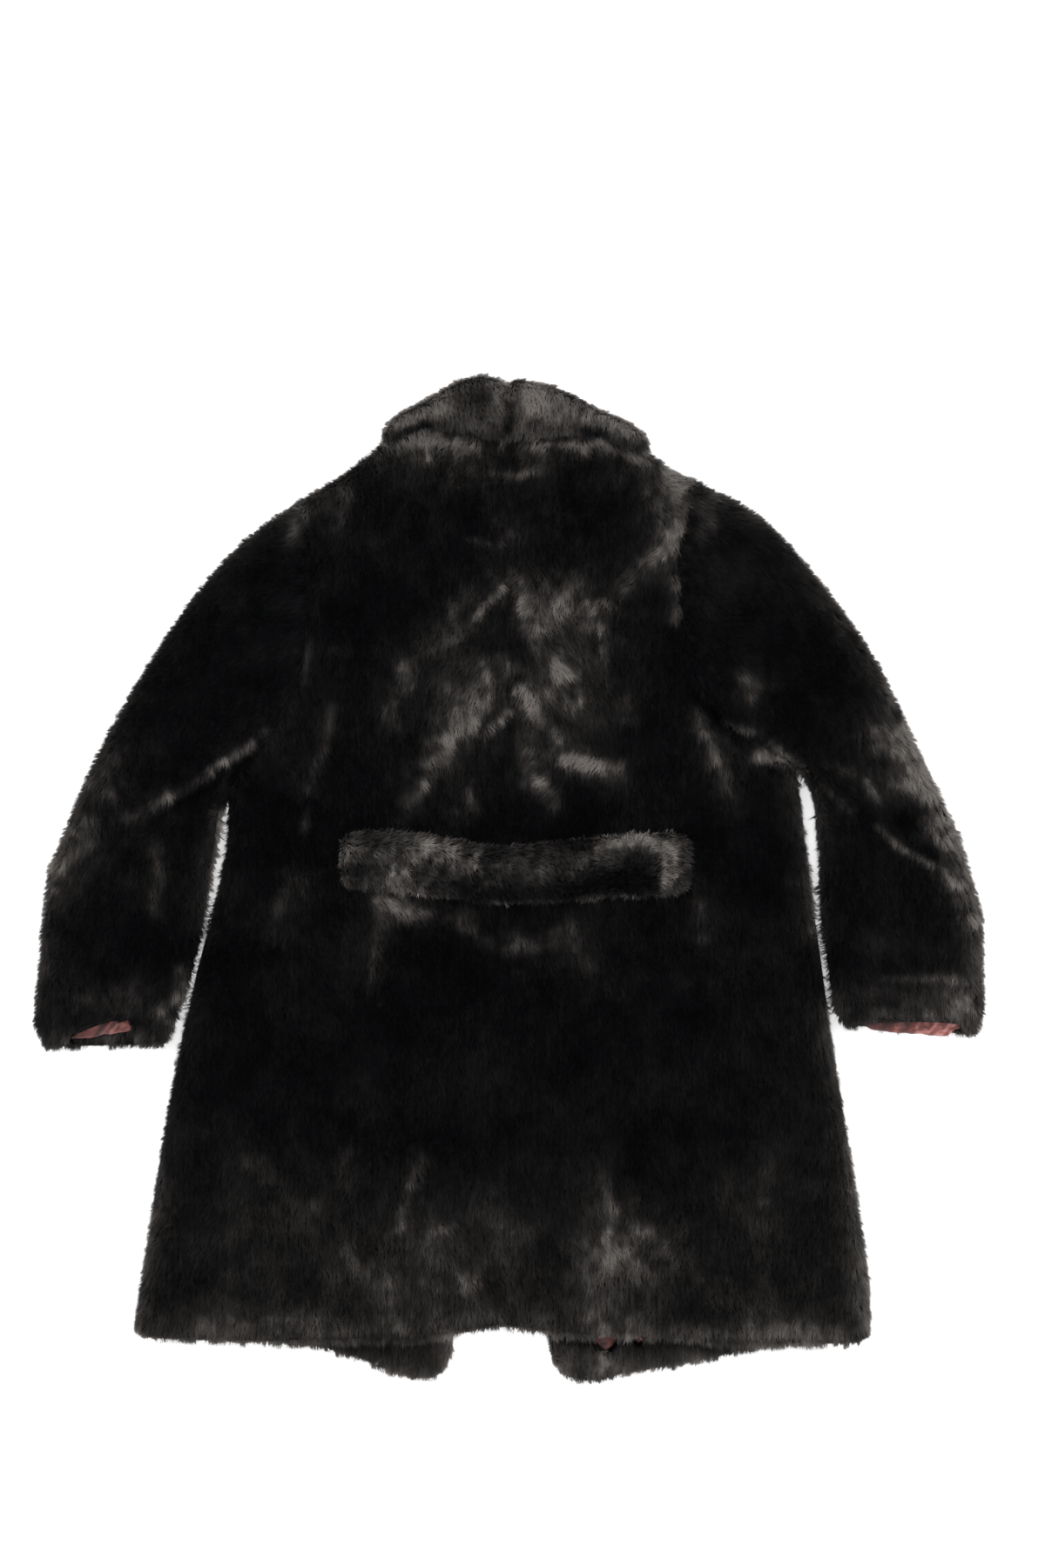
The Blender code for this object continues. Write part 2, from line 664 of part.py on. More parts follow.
def collar_loop(rib):
    """A section of the folded collar: its free edge, its top, its roll, then the layer inside it."""
    width = rib.roll - rib.edge
    seam = LOOSE_GAP - read_table([p.x for p in BACK_TOP], [p.down for p in BACK_TOP], rib.x)
    radius = min(COLLAR_RADIUS, COLLAR_RADIUS_SHARE * width)
    crest = rib.roll - radius
    fold = rib.roll - COLLAR_FOLD_SHARE * width
    full = mix(rib.edge, crest, FULL_SHARE)

    def low(y):
        return collar_underside(rib.x, y)

    def high(y):
        return low(y) + COLLAR_FUR

    loop = [
        (rib.edge, low(rib.edge)),
        (rib.edge - EDGE_SWELL, low(rib.edge) + EDGE_SWELL_HEIGHT * COLLAR_FUR),
        (rib.edge + EDGE_SHARE * width, high(rib.edge)),
        (full, high(full)),
    ]
    bottom = low(crest) - COLLAR_FUR - COLLAR_DROOP
    for step in range(COLLAR_ROLL_STEPS + 1):
        angle = math.pi * (0.5 - step / COLLAR_ROLL_STEPS)
        z = mix(bottom, high(crest), 0.5 + 0.5 * math.sin(angle))
        loop.append((crest + radius * math.cos(angle), z))
    loop.append((seam, low(seam) - LOOSE_GAP - COLLAR_FUR))
    loop.append((seam, low(seam) - LOOSE_GAP))
    loop.append((fold, low(fold) - LOOSE_GAP))
    loop.append((fold, low(fold)))
    return [(rib.x, y, z) for y, z in loop]


def make_collar(side, material):
    """Half of the folded collar: up from the neck seam, over the roll, and down to its free edge."""
    loops = [collar_loop(rib) for rib in COLLAR[side]]
    return lofted_loops(f"collar_{side}", loops, material)


def make_lapel(side, material):
    """The collar's front stretch, folded under the front and flat on the floor."""
    rows = []
    for rib in LAPEL[side]:
        shares = [i / LAPEL_COLUMNS for i in range(LAPEL_COLUMNS + 1)]
        rows.append([(mix(rib.neckline, rib.edge, share), -float(rib.down)) for share in shares])
    return flat_sheet(f"lapel_{side}", rows, 0.0, LAPEL_FUR, material)


def make_half_belt(material):
    """A crowned band of long fur, lying on the back at the waist."""
    outer, inner = [], []
    for rib in HALF_BELT:
        fullness = BELT_END if rib in (HALF_BELT[0], HALF_BELT[-1]) else 1.0
        row_out, row_in = [], []
        for share, height in BELT_CROWN:
            y = -mix(rib.top, rib.bottom, share)
            base = coat_top(rib.x, y) + LOOSE_GAP
            row_out.append((rib.x, y, base + BELT_FUR * height * fullness))
            row_in.append((rib.x, y, base))
        outer.append(row_out)
        inner.append(row_in)
    return walled_grid("half_belt", outer, inner, material)


def make_material(name, colour, roughness):
    material = bpy.data.materials.new(name)
    material.use_nodes = True
    shader = material.node_tree.nodes["Principled BSDF"]
    shader.inputs["Base Color"].default_value = (*colour, 1.0)
    shader.inputs["Roughness"].default_value = roughness
    shader.inputs["Metallic"].default_value = 0.0
    return material


def centre_on_origin(pieces):
    """Moves the meshes so that the middle of the coat's plan is the origin."""
    corners = [v.co for piece in pieces for v in piece.data.vertices]
    middle = [(min(c[k] for c in corners) + max(c[k] for c in corners)) / 2 for k in (0, 1)]
    for corner in corners:
        corner.x -= middle[0]
        corner.y -= middle[1]


def build_coat():
    for old in list(bpy.data.objects):
        bpy.data.objects.remove(old)
    plush = make_material("black_plush_fur", (0.011, 0.010, 0.010), 0.75)
    pressed = make_material("black_pressed_fur", (0.008, 0.008, 0.008), 0.85)
    collar_fur = make_material("black_collar_fur", (0.014, 0.013, 0.013), 0.70)
    belt_fur = make_material("black_long_fur", (0.020, 0.019, 0.019), 0.60)
    satin = make_material("brick_red_lining", (0.42, 0.10, 0.085), 0.40)
    pieces = [make_back(plush)]
    for side in SIDES:
        pieces.append(make_front(side, pressed))
        pieces.append(make_front_hem(side, plush))
        pieces.append(make_sleeve(side, plush))
        pieces.append(make_cuff_lining(side, satin))
        pieces.append(make_collar(side, collar_fur))
        pieces.append(make_lapel(side, pressed))
    pieces.append(make_front_lining(satin))
    pieces.append(make_half_belt(belt_fur))
    centre_on_origin(pieces)


BACK_TOP_CURVE, BACK_HEM_CURVE = Curve(BACK_TOP), Curve(BACK_HEM)
ARMHOLE_CURVE = {side: Curve(ARMHOLE[side]) for side in SIDES}
ARMHOLE_LENGTH = ARMHOLE_CURVE["left"].length
SIDE_CURVE = {side: Curve(SIDE_SEAM[side]) for side in SIDES}
build_coat()
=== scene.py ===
import math
from collections import namedtuple

import bmesh
import bpy
import numpy as np
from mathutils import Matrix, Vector
from mathutils.bvhtree import BVHTree


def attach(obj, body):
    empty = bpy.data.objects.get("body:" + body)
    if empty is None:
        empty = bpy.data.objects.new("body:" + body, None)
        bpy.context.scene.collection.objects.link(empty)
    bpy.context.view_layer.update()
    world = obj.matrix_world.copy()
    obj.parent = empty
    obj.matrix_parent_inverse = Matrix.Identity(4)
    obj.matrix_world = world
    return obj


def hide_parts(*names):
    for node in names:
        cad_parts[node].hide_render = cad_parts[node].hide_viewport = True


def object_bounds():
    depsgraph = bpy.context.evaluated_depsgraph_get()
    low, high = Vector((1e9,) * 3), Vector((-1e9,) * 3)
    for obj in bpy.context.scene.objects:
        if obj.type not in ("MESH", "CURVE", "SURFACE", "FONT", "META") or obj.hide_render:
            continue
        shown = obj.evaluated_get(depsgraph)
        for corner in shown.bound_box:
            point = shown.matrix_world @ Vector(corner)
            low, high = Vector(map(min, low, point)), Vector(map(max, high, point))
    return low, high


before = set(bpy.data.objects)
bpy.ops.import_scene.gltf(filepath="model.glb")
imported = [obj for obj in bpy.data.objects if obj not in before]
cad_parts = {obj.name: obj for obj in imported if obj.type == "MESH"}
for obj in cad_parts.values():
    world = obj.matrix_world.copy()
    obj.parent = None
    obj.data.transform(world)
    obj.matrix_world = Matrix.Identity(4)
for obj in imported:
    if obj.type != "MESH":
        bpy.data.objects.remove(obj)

MM = 0.001
cad_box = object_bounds()

# ---------------------------------------------------------------- sizes, in mm in the frame
# The cloth: its net, where it lies below the pile's surface, and how its seams draw it together.
LONGEST_EDGE, EDGE_ROUNDS = 12.0, 3
FLOOR_INSET, EDGE_INSET, LEAST_HEIGHT = 1.6, 0.60, 0.25
SMOOTHING, INSET_ROUNDS, CLOTH_SWELL = 0.3, 2, 0.9
SEAM_GAP, SEAM_REACH, TOUCHING = 2.5, 0.42, 1e-7
# This near another piece it carries no pile, and this far from it all. How far rays look for another
# piece, and for the far side of their own.
CONTACT, CLEAR = 3.0, 7.0
HIDDEN_REACH, THICK_REACH = 900.0, 100.0
# In metres: corners this close are one, rays start this far off, and the plan is seen from this height.
WELD, NUDGE, LOOK_FROM, LOOK_DOWN = 1e-5, 1e-4, 0.2, 1.0
# How steep cloth is, by the upward part of its normal, to count as top, as flat beneath, as facing
# down and as facing sideways.
TOP_FACING, FLAT_FROM, FLAT_SPAN = 0.2, 0.3, 0.4
DOWN_FROM, DOWN_SPAN, SIDE_FROM, SIDE_SPAN = 0.2, 0.5, 0.75, 0.5
# A sleeve's cloth is taken off this near another piece, where its normal's upward part is less than this.
TUBES, ARMHOLE_REACH, UPRIGHT = ("sleeve_left", "sleeve_right"), 3.5, 0.6

# Strokes: the share in the core and how steeply it ends, the halo's width, how ragged the outline is
# and how far out they are worked out.
CORE, CORE_POWER, HALO, RAGGED, STROKE_REACH = 0.72, 1.2, 2.4, 0.45, 5.0

# How the pile runs and leans, in degrees, apart from the combs' pull and the bend, in radians. The
# pairs of WANDER, EDGE_PILE and LOCK_PULL are for the short pile and for the belt's long pile.
NAP_DOWN, NAP_WANDER, FINE_WANDER, COMB_PULL, WANDER = -90.0, 16, 12, 1.5, (12.0, 20.0)
LEAN, BEND, EDGE_RISE = 42.0, 0.24, 14.0
LEAN_SPREAD, LAID_LEAN, STRAND_LEAN, COLLAR_LEAN = 9, 16, 8, 8
LEAST_LEAN, MOST_LEAN, UNDER_LEAN, MOST_UNDER_LEAN = 14, 72.0, 86, 87
# How long and wide a strand is, as shares, and how far it rolls, in radians.
SHORTEST, LENGTH_SPREAD, EDGE_PILE = 0.72, 0.4, (0.78, 0.55)
HIDDEN_LENGTH, SHOWN_LENGTH = 0.55, 0.45
ROLL, NARROWEST, WIDTH_SPREAD, UNDER_WIDTH, ROOT_WIDTH = 0.45, 0.75, 0.5, 1.2, 0.7
# Locks, whose strands lean together, and tufts, which they make along the sides.
LOCK, LOCK_WAVER, LOCK_PULL, MIDDLE_PULL, UNDER_PULL = 5.5, 2.4, (0.30, 0.55), 0.35, 0.7
MOST_LOCK, MOST_TUFT, EDGE_PULL, ON_SIDE = 1, 1.4, 0.72, 0.5
TUFT_REACH, TUFT_WIDTH, SIDE_TUFTS = 0.45, 0.5, 0.45
RUNS_OFF, RUNS_OFF_SPAN, FLATTEST = 0.4, 0.5, 0.05
# The coat's outline in plan, how far past it the pile ends, and how its flat sides turn up there.
OUTLINE_STEP, OUTLINE_REACH, FIELD_MARGIN = 1.5, 24.0, 1.001
OVERHANG, TUFT_OVERHANG, FRAY, MOST_CUT = 1.1, 3.6, 0.8, 0.8
BRINK_TURN, BRINK_REACH = 0.85, 12.0

# Tones, from 0 for the darkest to 1: painted rim light along the outline, in grain and blots, by lock and by
# strand.
RIM_REACH, RIM_PAINTED, RIM_EDGE, RIM_STEP = 11.0, 0.45, 0.7, 2.0
RIM_RIGHT, RIM_LEFT, RIM_UP, RIM_DOWN, RIM_COLLAR = 0.66, 0.24, 0.52, 0.34, 0.62
GRAIN, WIDE_GRAIN, GRAIN_STRETCH, BLOTS = 0.12, 0.08, 0.35, 0.40
PAINT, PAINT_GRAIN, PAINT_SPREAD, PLAIN_GRAIN = 0.90, 1.2, 0.10, 0.5
LOCK_TONE, BELT_LOCK_TONE, LAID_LOCK_TONE = 0.02, 0.06, 0.03
# Painted shade on cloth facing down, painted rim light on the belt's sides, and the spread by strand.
UNDER_SHADE, BELT_RIM_LIGHT, STRAND_TONE = 0.05, 0.24, 0.03
DARKEST, LIGHTEST = 0.01, 0.98

# The cloth of each cut piece. Pieces of one group lie on each other and carry no pile between them.
Shell = namedtuple("Shell", "node group inset pile width density kind")
SHELLS = (
    Shell("back", "body", 6.5, 11.0, 0.6, 1.0, "body"),
    Shell("front_left", "body", 6.0, 11.0, 0.8, 1.0, "body"),
    Shell("front_right", "body", 6.0, 11.0, 0.8, 1.0, "body"),
    Shell("front_hem_left", "", 5.0, 11.0, 0.6, 1.2, "hem"),
    Shell("front_hem_right", "", 5.0, 11.0, 0.6, 1.2, "hem"),
    Shell("sleeve_left", "", 6.5, 11.0, 0.6, 1.0, "sleeve_left"),
    Shell("sleeve_right", "", 6.5, 11.0, 0.6, 1.0, "sleeve_right"),
    Shell("collar_left", "", 5.0, 9.0, 0.55, 1.3, "collar"),
    Shell("collar_right", "", 5.0, 9.0, 0.55, 1.3, "collar"),
    Shell("lapel_left", "", 3.0, 7.0, 1.2, 0.7, "hem"),
    Shell("lapel_right", "", 3.0, 7.0, 1.2, 0.7, "hem"),
    Shell("half_belt", "", 4.5, 10.5, 0.65, 1.0, "belt"),
)
# Strands on each square metre, above and below, and the least showing share that carries them.
TOP_DENSITY, UNDER_DENSITY, UNDER_FACING = 960_000.0, 90_000.0, -0.5
LEAST_SHARE, THINNEST_SHARE, SQUARE_MM = 0.15, 0.4, 1e-6
# The back's pile is in four bands by height, and every other piece's in one.
Band = namedtuple("Band", "label low high")
BEYOND = 999.0
BACK_BANDS = (
    Band("top", 120.0, BEYOND), Band("waist", -110.0, 120.0), Band("skirt", -310.0, -110.0),
    Band("hem", -BEYOND, -310.0),
)
WHOLE = (Band("", -BEYOND, BEYOND),)

# Smooth noises: how large the blots are, the seed, and how many sizes of them are summed.
Noise = namedtuple("Noise", "size seed octaves")
CLOTH, TONE, LEANING, BLOT = Noise(46, 5, 2), Noise(70, 31, 3), Noise(34, 41, 2), Noise(12, 63, 2)
RAGGED_X, RAGGED_Y, LOCK_X, LOCK_Y = Noise(22, 11, 3), Noise(22, 12, 3), Noise(9, 51, 1), Noise(9, 52, 1)
NAP, FINE_NAP = Noise(60, 21, 2), Noise(14, 22, 1)
FINE_GRAIN, BROAD_GRAIN = Noise(3.5, 61, 1), Noise(18, 62, 2)
WIDE_FOLD, FINE_FOLD, SATIN_EDGE = Noise(6.5, 71, 1), Noise(2.6, 72, 1), Noise(7.0, 73, 2)
LINING_EDGE = Noise(6, 81, 1)
NOISE_NODES, OCTAVE_SHIFT = 97, (31.7, 11.3)
LOCK_SEED, LOCK_NODES, LOCK_SKEW, STRAND_SEED = 64, 211, (7, 13), 100

# The marks in the pile, each a line from one place to another: how much it adds to the pile's tone, which is
# painted sheen where it is lighter and painted shade where darker, in creases and under the collar's roll and
# the belt, how far it turns the pile, in degrees, and how far it lifts the cloth.
Stroke = namedtuple("Stroke", "what on x1 y1 x2 y2 width tone turn rise", defaults=(0, 0))
STROKES = (
    Stroke("collar, right half", "collar", 28, 478, 120, 454, 23, 0.30),
    Stroke("collar, right half, low", "collar", 36, 458, 66, 456, 8, -0.18),
    Stroke("collar, right tip", "collar", 104, 460, 132, 450, 9, 0.16),
    Stroke("collar, roll", "collar", 20, 488, 90, 470, 16, 0.26),
    Stroke("collar, left rim", "collar", -116, 452, -24, 450, 12, 0.14),
    Stroke("collar, left end", "collar", -110, 460, -84, 468, 14, 0.2),
    Stroke("collar, dark oval", "collar", -46, 486, -34, 486, 12, -0.30),
    Stroke("collar, left middle", "collar", -80, 474, -50, 478, 12, 0.12),
    Stroke("collar, back seam", "collar", 1, 476, 0, 452, 4.5, -0.44, 0, -2.0),
    Stroke("collar, beside the seam", "collar", 12, 470, 14, 452, 5, 0.14),
    Stroke("collar, under the left end", "collar", -128, 438, -84, 449, 8, -0.62),
    Stroke("collar, lower edge", "collar", -72, 452, -6, 438, 6, -0.32),
    Stroke("collar, under the right end", "collar", 82, 445, 138, 428, 8, -0.66),
    Stroke("collar, beside the oval", "collar", -18, 492, -12, 462, 8, 0.16),
    Stroke("collar, right of the notch", "collar", 8, 494, 24, 487, 8, 0.22),
    Stroke("under the collar, far left", "body", -124, 438, -88, 443, 8.5, 0.60, 40),
    Stroke("under the collar, left", "body", -82, 442, -32, 434, 10, 0.60, -30),
    Stroke("under the collar, drip", "body", -81, 436, -82, 422, 4, 0.24),
    Stroke("under the collar, tuft", "body", -9, 445, -5, 436, 5, 0.56, -20),
    Stroke("under the collar, flecks", "body", 17, 436, 34, 433, 6, 0.46, -30),
    Stroke("under the collar, flecks right", "body", 42, 439, 64, 436, 5, 0.54, -30),
    Stroke("under the collar, arc up", "body", 74, 430, 90, 439, 5, 0.50, 30),
    Stroke("under the collar, arc down", "body", 92, 438, 136, 420, 5.5, 0.56, 40),
    Stroke("below the collar", "body", -90, 412, 116, 414, 22, 0.12),
    Stroke("upper back haze", "body", 20, 400, 62, 270, 50, 0.08),
    Stroke("faint arc, left", "body", -24, 407, 10, 405, 3.5, 0.22),
    Stroke("faint arc, right", "body", 10, 405, 32, 410, 3.5, 0.30),
    Stroke("upper back cloud", "body", -24, 372, -8, 340, 12, 0.12),
    Stroke("crescent", "body", -43, 341, -8, 336, 3.5, 0.24, 30),
    Stroke("crescent end", "body", 4, 346, 20, 342, 8, 0.13),
    Stroke("right shoulder", "body", 161, 404, 157, 356, 15, 0.66, 40),
    Stroke("right shoulder, outer", "sleeve", 202, 394, 192, 354, 16, 0.46),
    Stroke("right shoulder, fall", "body", 166, 350, 150, 326, 8, 0.26, -30, 1.5),
    Stroke("right shoulder, low", "body", 150, 322, 126, 306, 9, 0.34, -30, 1.5),
    Stroke("right shoulder, lowest", "body", 122, 300, 90, 270, 8, 0.30, -40, 1.0),
    Stroke("right armhole", "body", 173, 336, 168, 300, 3.5, 0.22, 0, 1.0),
    Stroke("right armhole, low", "body", 163, 300, 166, 264, 6, 0.48, 0, 1.0),
    Stroke("left shoulder", "body", -163, 390, -168, 354, 6, 0.30),
    Stroke("left shoulder point", "both", -203, 384, -210, 338, 8, 0.40),
    Stroke("left armhole", "body", -194, 292, -193, 268, 3.5, 0.20),
    Stroke("left armhole, low", "body", -200, 238, -205, 200, 4, 0.28),
    Stroke("left side dash", "body", -178, 232, -160, 231, 5, 0.18),
    Stroke("left chevron", "body", -3, 298, -32, 266, 4.2, 0.44, 50, 1.5),
    Stroke("left chevron, middle", "body", -46, 256, -58, 240, 10, 0.22, 40, 1.5),
    Stroke("left chevron, low", "body", -60, 240, -84, 230, 10, 0.20, 40, 1.0),
    Stroke("beside the chevron", "body", -46, 292, -60, 262, 10, 0.18),
    Stroke("chevron crease", "body", 1, 290, -2, 262, 4, -0.10, 0, -2.0),
    Stroke("right chevron", "body", 5, 301, 18, 275, 8, 0.38, -50, 1.5),
    Stroke("right chevron, low", "body", 18, 268, 34, 228, 9, 0.32, -50, 1.5),
    Stroke("brown patch, top", "body", 38, 298, 80, 294, 11, 0.22, -20),
    Stroke("brown patch, high", "body", 42, 280, 84, 268, 14, 0.32, -30),
    Stroke("brown patch", "body", 54, 258, 86, 246, 17, 0.24, -20),
    Stroke("brown patch, edge", "body", 94, 262, 97, 220, 6, 0.16, 0, 1.0),
    Stroke("brown patch, low", "body", 66, 230, 92, 222, 11, 0.06),
    Stroke("bright spot", "body", 40, 213, 58, 208, 8.5, 0.66, 40, 1.5),
    Stroke("below the chevron, left", "body", -40, 214, -16, 220, 9, 0.14),
    Stroke("below the chevron", "body", -8, 222, 0, 208, 6, 0.34),
    Stroke("left column", "body", -102, 218, -112, 164, 11, 0.19),
    Stroke("left column, high", "body", -104, 214, -100, 200, 8, 0.20),
    Stroke("left column, low", "body", -118, 170, -112, 160, 9, 0.20),
    Stroke("left of the peak, high", "body", -19, 200, -38, 158, 8, 0.42, 30, 1.0),
    Stroke("left of the peak", "body", -50, 182, -66, 140, 15, 0.44, 30, 1.0),
    Stroke("left of the peak, low", "body", -70, 134, -84, 102, 12, 0.40, 30, 1.0),
    Stroke("left of the peak, lowest", "body", -88, 94, -108, 62, 10, 0.28, 20),
    Stroke("peak, left arm", "body", 0, 170, -23, 148, 4, 0.60, 50, 2.0),
    Stroke("peak, right arm", "body", 12, 189, 26, 169, 7, 0.52, -50, 2.0),
    Stroke("peak, right arm, low", "body", 24, 170, 47, 142, 6, 0.40, -50, 1.5),
    Stroke("peak crease", "body", 0, 152, -6, 116, 9, -0.16, 0, -1.5),
    Stroke("right cloud", "body", 36, 186, 62, 178, 12, 0.32),
    Stroke("right cloud, low", "body", 74, 160, 84, 136, 10, 0.10),
    Stroke("right cloud, outer", "body", 104, 196, 120, 166, 10, 0.22),
    Stroke("above the belt, right", "body", 18, 138, 32, 104, 10, 0.34, -40, 1.0),
    Stroke("above the belt, right low", "body", 32, 100, 46, 80, 8, 0.38, -40, 1.0),
    Stroke("bright bar", "body", 58, 122, 80, 114, 7, 0.66, -40, 2.0),
    Stroke("bright bar, outer", "body", 80, 114, 114, 110, 7.5, 0.64, -30, 2.0),
    Stroke("above the belt, left", "body", -42, 94, -40, 74, 7, 0.38),
    Stroke("above the belt, left low", "body", -56, 66, -50, 58, 9, 0.24),
    Stroke("left side", "body", -175, 176, -181, 150, 5, 0.26, 0, 1.0),
    Stroke("left side, middle", "body", -184, 142, -199, 96, 5, 0.26, 0, 1.0),
    Stroke("left side, low", "body", -200, 94, -206, 50, 4, 0.26),
    Stroke("right side", "body", 188, 164, 196, 142, 6.5, 0.46, 40, 1.5),
    Stroke("right side, middle", "body", 202, 130, 216, 97, 7, 0.44, 0, 1.0),
    Stroke("right side, low", "body", 218, 90, 228, 68, 7, 0.20),
    Stroke("below the belt, left", "body", -126, -23, -90, -26, 13, 0.62, 40, 1.0),
    Stroke("below the belt, streak", "body", -134, -46, -138, -104, 8, 0.24),
    Stroke("below the belt, haze", "body", -74, -29, -38, -32, 9, 0.17),
    Stroke("below the belt, arc left", "body", -42, -46, 8, -66, 10, 0.28, 20),
    Stroke("below the belt, arc right", "body", 8, -66, 58, -50, 10, 0.26, -20),
    Stroke("below the belt, spot", "body", 62, -70, 80, -88, 10, 0.24),
    Stroke("beside the belt", "body", 189, 12, 192, -22, 9, 0.22),
    Stroke("beside the belt, low", "body", 194, -26, 198, -56, 9, 0.18),
    Stroke("left of the belt", "body", -232, -26, -204, 4, 13, 0.2),
    Stroke("skirt, left side", "body", -240, -60, -222, -30, 12, 0.16),
    Stroke("skirt streak, left", "body", -86, -280, -100, -302, 6, 0.26, 0, 1.0),
    Stroke("skirt streak, left low", "body", -102, -306, -110, -350, 5.5, 0.22, 0, 1.0),
    Stroke("skirt cloud, far left", "body", -250, -284, -230, -312, 13, 0.13),
    Stroke("skirt cloud, left", "body", -162, -268, -160, -300, 13, 0.18),
    Stroke("skirt cloud, left low", "body", -238, -344, -196, -328, 15, 0.14),
    Stroke("skirt cloud, outer", "body", -272, -356, -258, -366, 12, 0.1),
    Stroke("skirt patch, reddish", "body", -178, -362, -170, -408, 14, 0.13),
    Stroke("skirt arch", "body", -160, -370, -128, -400, 11, 0.16),
    Stroke("skirt arch, low", "body", -122, -408, -116, -444, 13, 0.16),
    Stroke("skirt, dark between", "body", -160, -400, -156, -412, 12, -0.08),
    Stroke("skirt, dark left", "body", -262, -392, -216, -414, 20, -0.06),
    Stroke("skirt patch, brown", "body", -90, -362, -54, -394, 27, 0.22, 20),
    Stroke("skirt patch, brown rim", "body", -96, -358, -54, -344, 6, 0.16, 20),
    Stroke("skirt patch, fleck", "body", -46, -396, -42, -404, 5, 0.26),
    Stroke("skirt, middle high", "body", -12, -332, 8, -342, 13, 0.10),
    Stroke("skirt, middle", "body", -6, -352, 2, -380, 18, 0.16),
    Stroke("skirt streak, right", "body", 97, -296, 103, -326, 6, 0.28, 0, 1.5),
    Stroke("skirt streak, right low", "body", 101, -340, 94, -356, 6, 0.22, 0, 1.0),
    Stroke("skirt patch, right", "body", 86, -362, 102, -376, 18, 0.40, 30),
    Stroke("skirt patch, right high", "body", 128, -348, 158, -360, 15, 0.30, -20),
    Stroke("skirt patch, right low", "body", 114, -372, 138, -388, 14, 0.26),
    Stroke("skirt patch, outer", "body", 166, -374, 174, -386, 9, 0.1),
    Stroke("skirt, down to the hem", "body", 90, -392, 84, -420, 14, 0.20),
    Stroke("skirt, at the hem", "body", 82, -426, 90, -450, 14, 0.20),
    Stroke("skirt, beside the hem", "body", 108, -424, 118, -434, 11, 0.26),
    Stroke("skirt cloud, right", "body", 198, -288, 230, -318, 18, 0.13),
    Stroke("skirt cloud, right low", "body", 200, -404, 240, -428, 17, 0.17),
    Stroke("skirt cloud, far right", "body", 244, -350, 262, -276, 11, 0.14),
    Stroke("hem, left", "body", -300, -444, -112, -447, 13, 0.22),
    Stroke("hem, right", "body", 88, -452, 345, -451, 11, 0.27),
    Stroke("hem, middle", "body", -50, -438, 40, -438, 16, 0.17),
    Stroke("right side rim", "body", 302, 60, 312, -80, 7, 0.16),
    Stroke("right side rim, low", "body", 322, -140, 334, -230, 8, 0.14),
    Stroke("left edge", "body", -352, -300, -372, -440, 12, 0.22),
    Stroke("right edge", "body", 352, -300, 358, -440, 10, 0.22),
    Stroke("left front hem", "hem", -140, -490, -90, -494, 14, 0.16),
    Stroke("right front hem", "hem", 62, -486, 100, -492, 20, 0.30),
    Stroke("right front hem, outer", "hem", 190, -478, 250, -472, 14, 0.24),
    Stroke("right front hem, streak", "hem", 94, -466, 92, -488, 5, 0.4),
    Stroke("left sleeve ridge", "sleeve", -243, 152, -257, 140, 3, 0.36, 25, 1.5),
    Stroke("left sleeve ridge, middle", "sleeve", -258, 137, -298, 110, 3.8, 0.52, 25, 2.0),
    Stroke("left sleeve ridge, low", "sleeve", -300, 108, -340, 82, 4.2, 0.36, 25, 2.0),
    Stroke("left sleeve ridge, fork", "sleeve", -344, 84, -354, 76, 5, 0.42, 25, 1.5),
    Stroke("left elbow, notch", "sleeve", -412, 84, -402, 70, 7, -0.14),
    Stroke("left pit, below the ridge", "both", -281, 118, -283, 98, 4, 0.22),
    Stroke("left sleeve crease", "sleeve", -262, 124, -350, 62, 6, -0.12, 0, -2.0),
    Stroke("left sleeve patch", "sleeve", -383, 64, -371, 66, 5.5, 0.40),
    Stroke("left elbow", "sleeve", -424, 130, -450, 30, 20, 0.50),
    Stroke("left elbow, inner", "sleeve", -404, 92, -416, 40, 12, 0.26),
    Stroke("left sleeve edge", "sleeve", -400, 190, -430, 130, 12, 0.40),
    Stroke("left forearm edge", "sleeve", -468, 10, -474, -90, 10, 0.36),
    Stroke("left forearm", "sleeve", -352, 34, -354, -30, 8, 0.30),
    Stroke("left cuff", "sleeve", -430, -112, -376, -120, 14, 0.24),
    Stroke("left cuff tuft", "sleeve", -326, -95, -328, -114, 9, 0.56),
    Stroke("left cuff tuft, low", "sleeve", -344, -130, -332, -147, 8.5, 0.52),
    Stroke("left cuff, front edge", "sleeve", -448, -160, -360, -158, 10, 0.34),
    Stroke("right pit ridge", "sleeve", 212, 160, 240, 147, 4, 0.50, -25, 2.0),
    Stroke("right pit ridge, low", "sleeve", 262, 138, 285, 117, 3, 0.44, -25, 2.0),
    Stroke("right pit, bright", "both", 246, 128, 272, 120, 7.5, 0.70),
    Stroke("right pit crease", "both", 186, 188, 212, 162, 4, -0.20, 0, -2.5),
    Stroke("right pit crease, low", "both", 212, 160, 280, 118, 4, -0.15, 0, -2.5),
    Stroke("right upper sleeve", "sleeve", 226, 209, 239, 190, 10, 0.42),
    Stroke("right sleeve, upper haze", "sleeve", 316, 274, 350, 228, 13, 0.17),
    Stroke("right sleeve line", "sleeve", 313, 97, 339, 69, 2.6, 0.34, -25, 1.5),
    Stroke("right sleeve line, middle", "sleeve", 366, 55, 386, 39, 2.8, 0.46, -25, 1.5),
    Stroke("right sleeve line, low", "sleeve", 388, 37, 426, 15, 2.8, 0.42, -25, 1.5),
    Stroke("right sleeve wedge", "sleeve", 435, 11, 446, -6, 4, 0.42),
    Stroke("right sleeve wedge, low", "sleeve", 453, -8, 464, -38, 8, 0.44),
    Stroke("right elbow", "sleeve", 388, 148, 402, 118, 21, 0.46),
    Stroke("right elbow, middle", "sleeve", 392, 112, 414, 92, 17, 0.20),
    Stroke("right sleeve rim", "sleeve", 402, 150, 474, -14, 8, 0.22),
    Stroke("right elbow, outer", "sleeve", 416, 100, 432, 56, 16, 0.50),
    Stroke("right elbow, low", "sleeve", 444, 42, 456, 6, 10, 0.4),
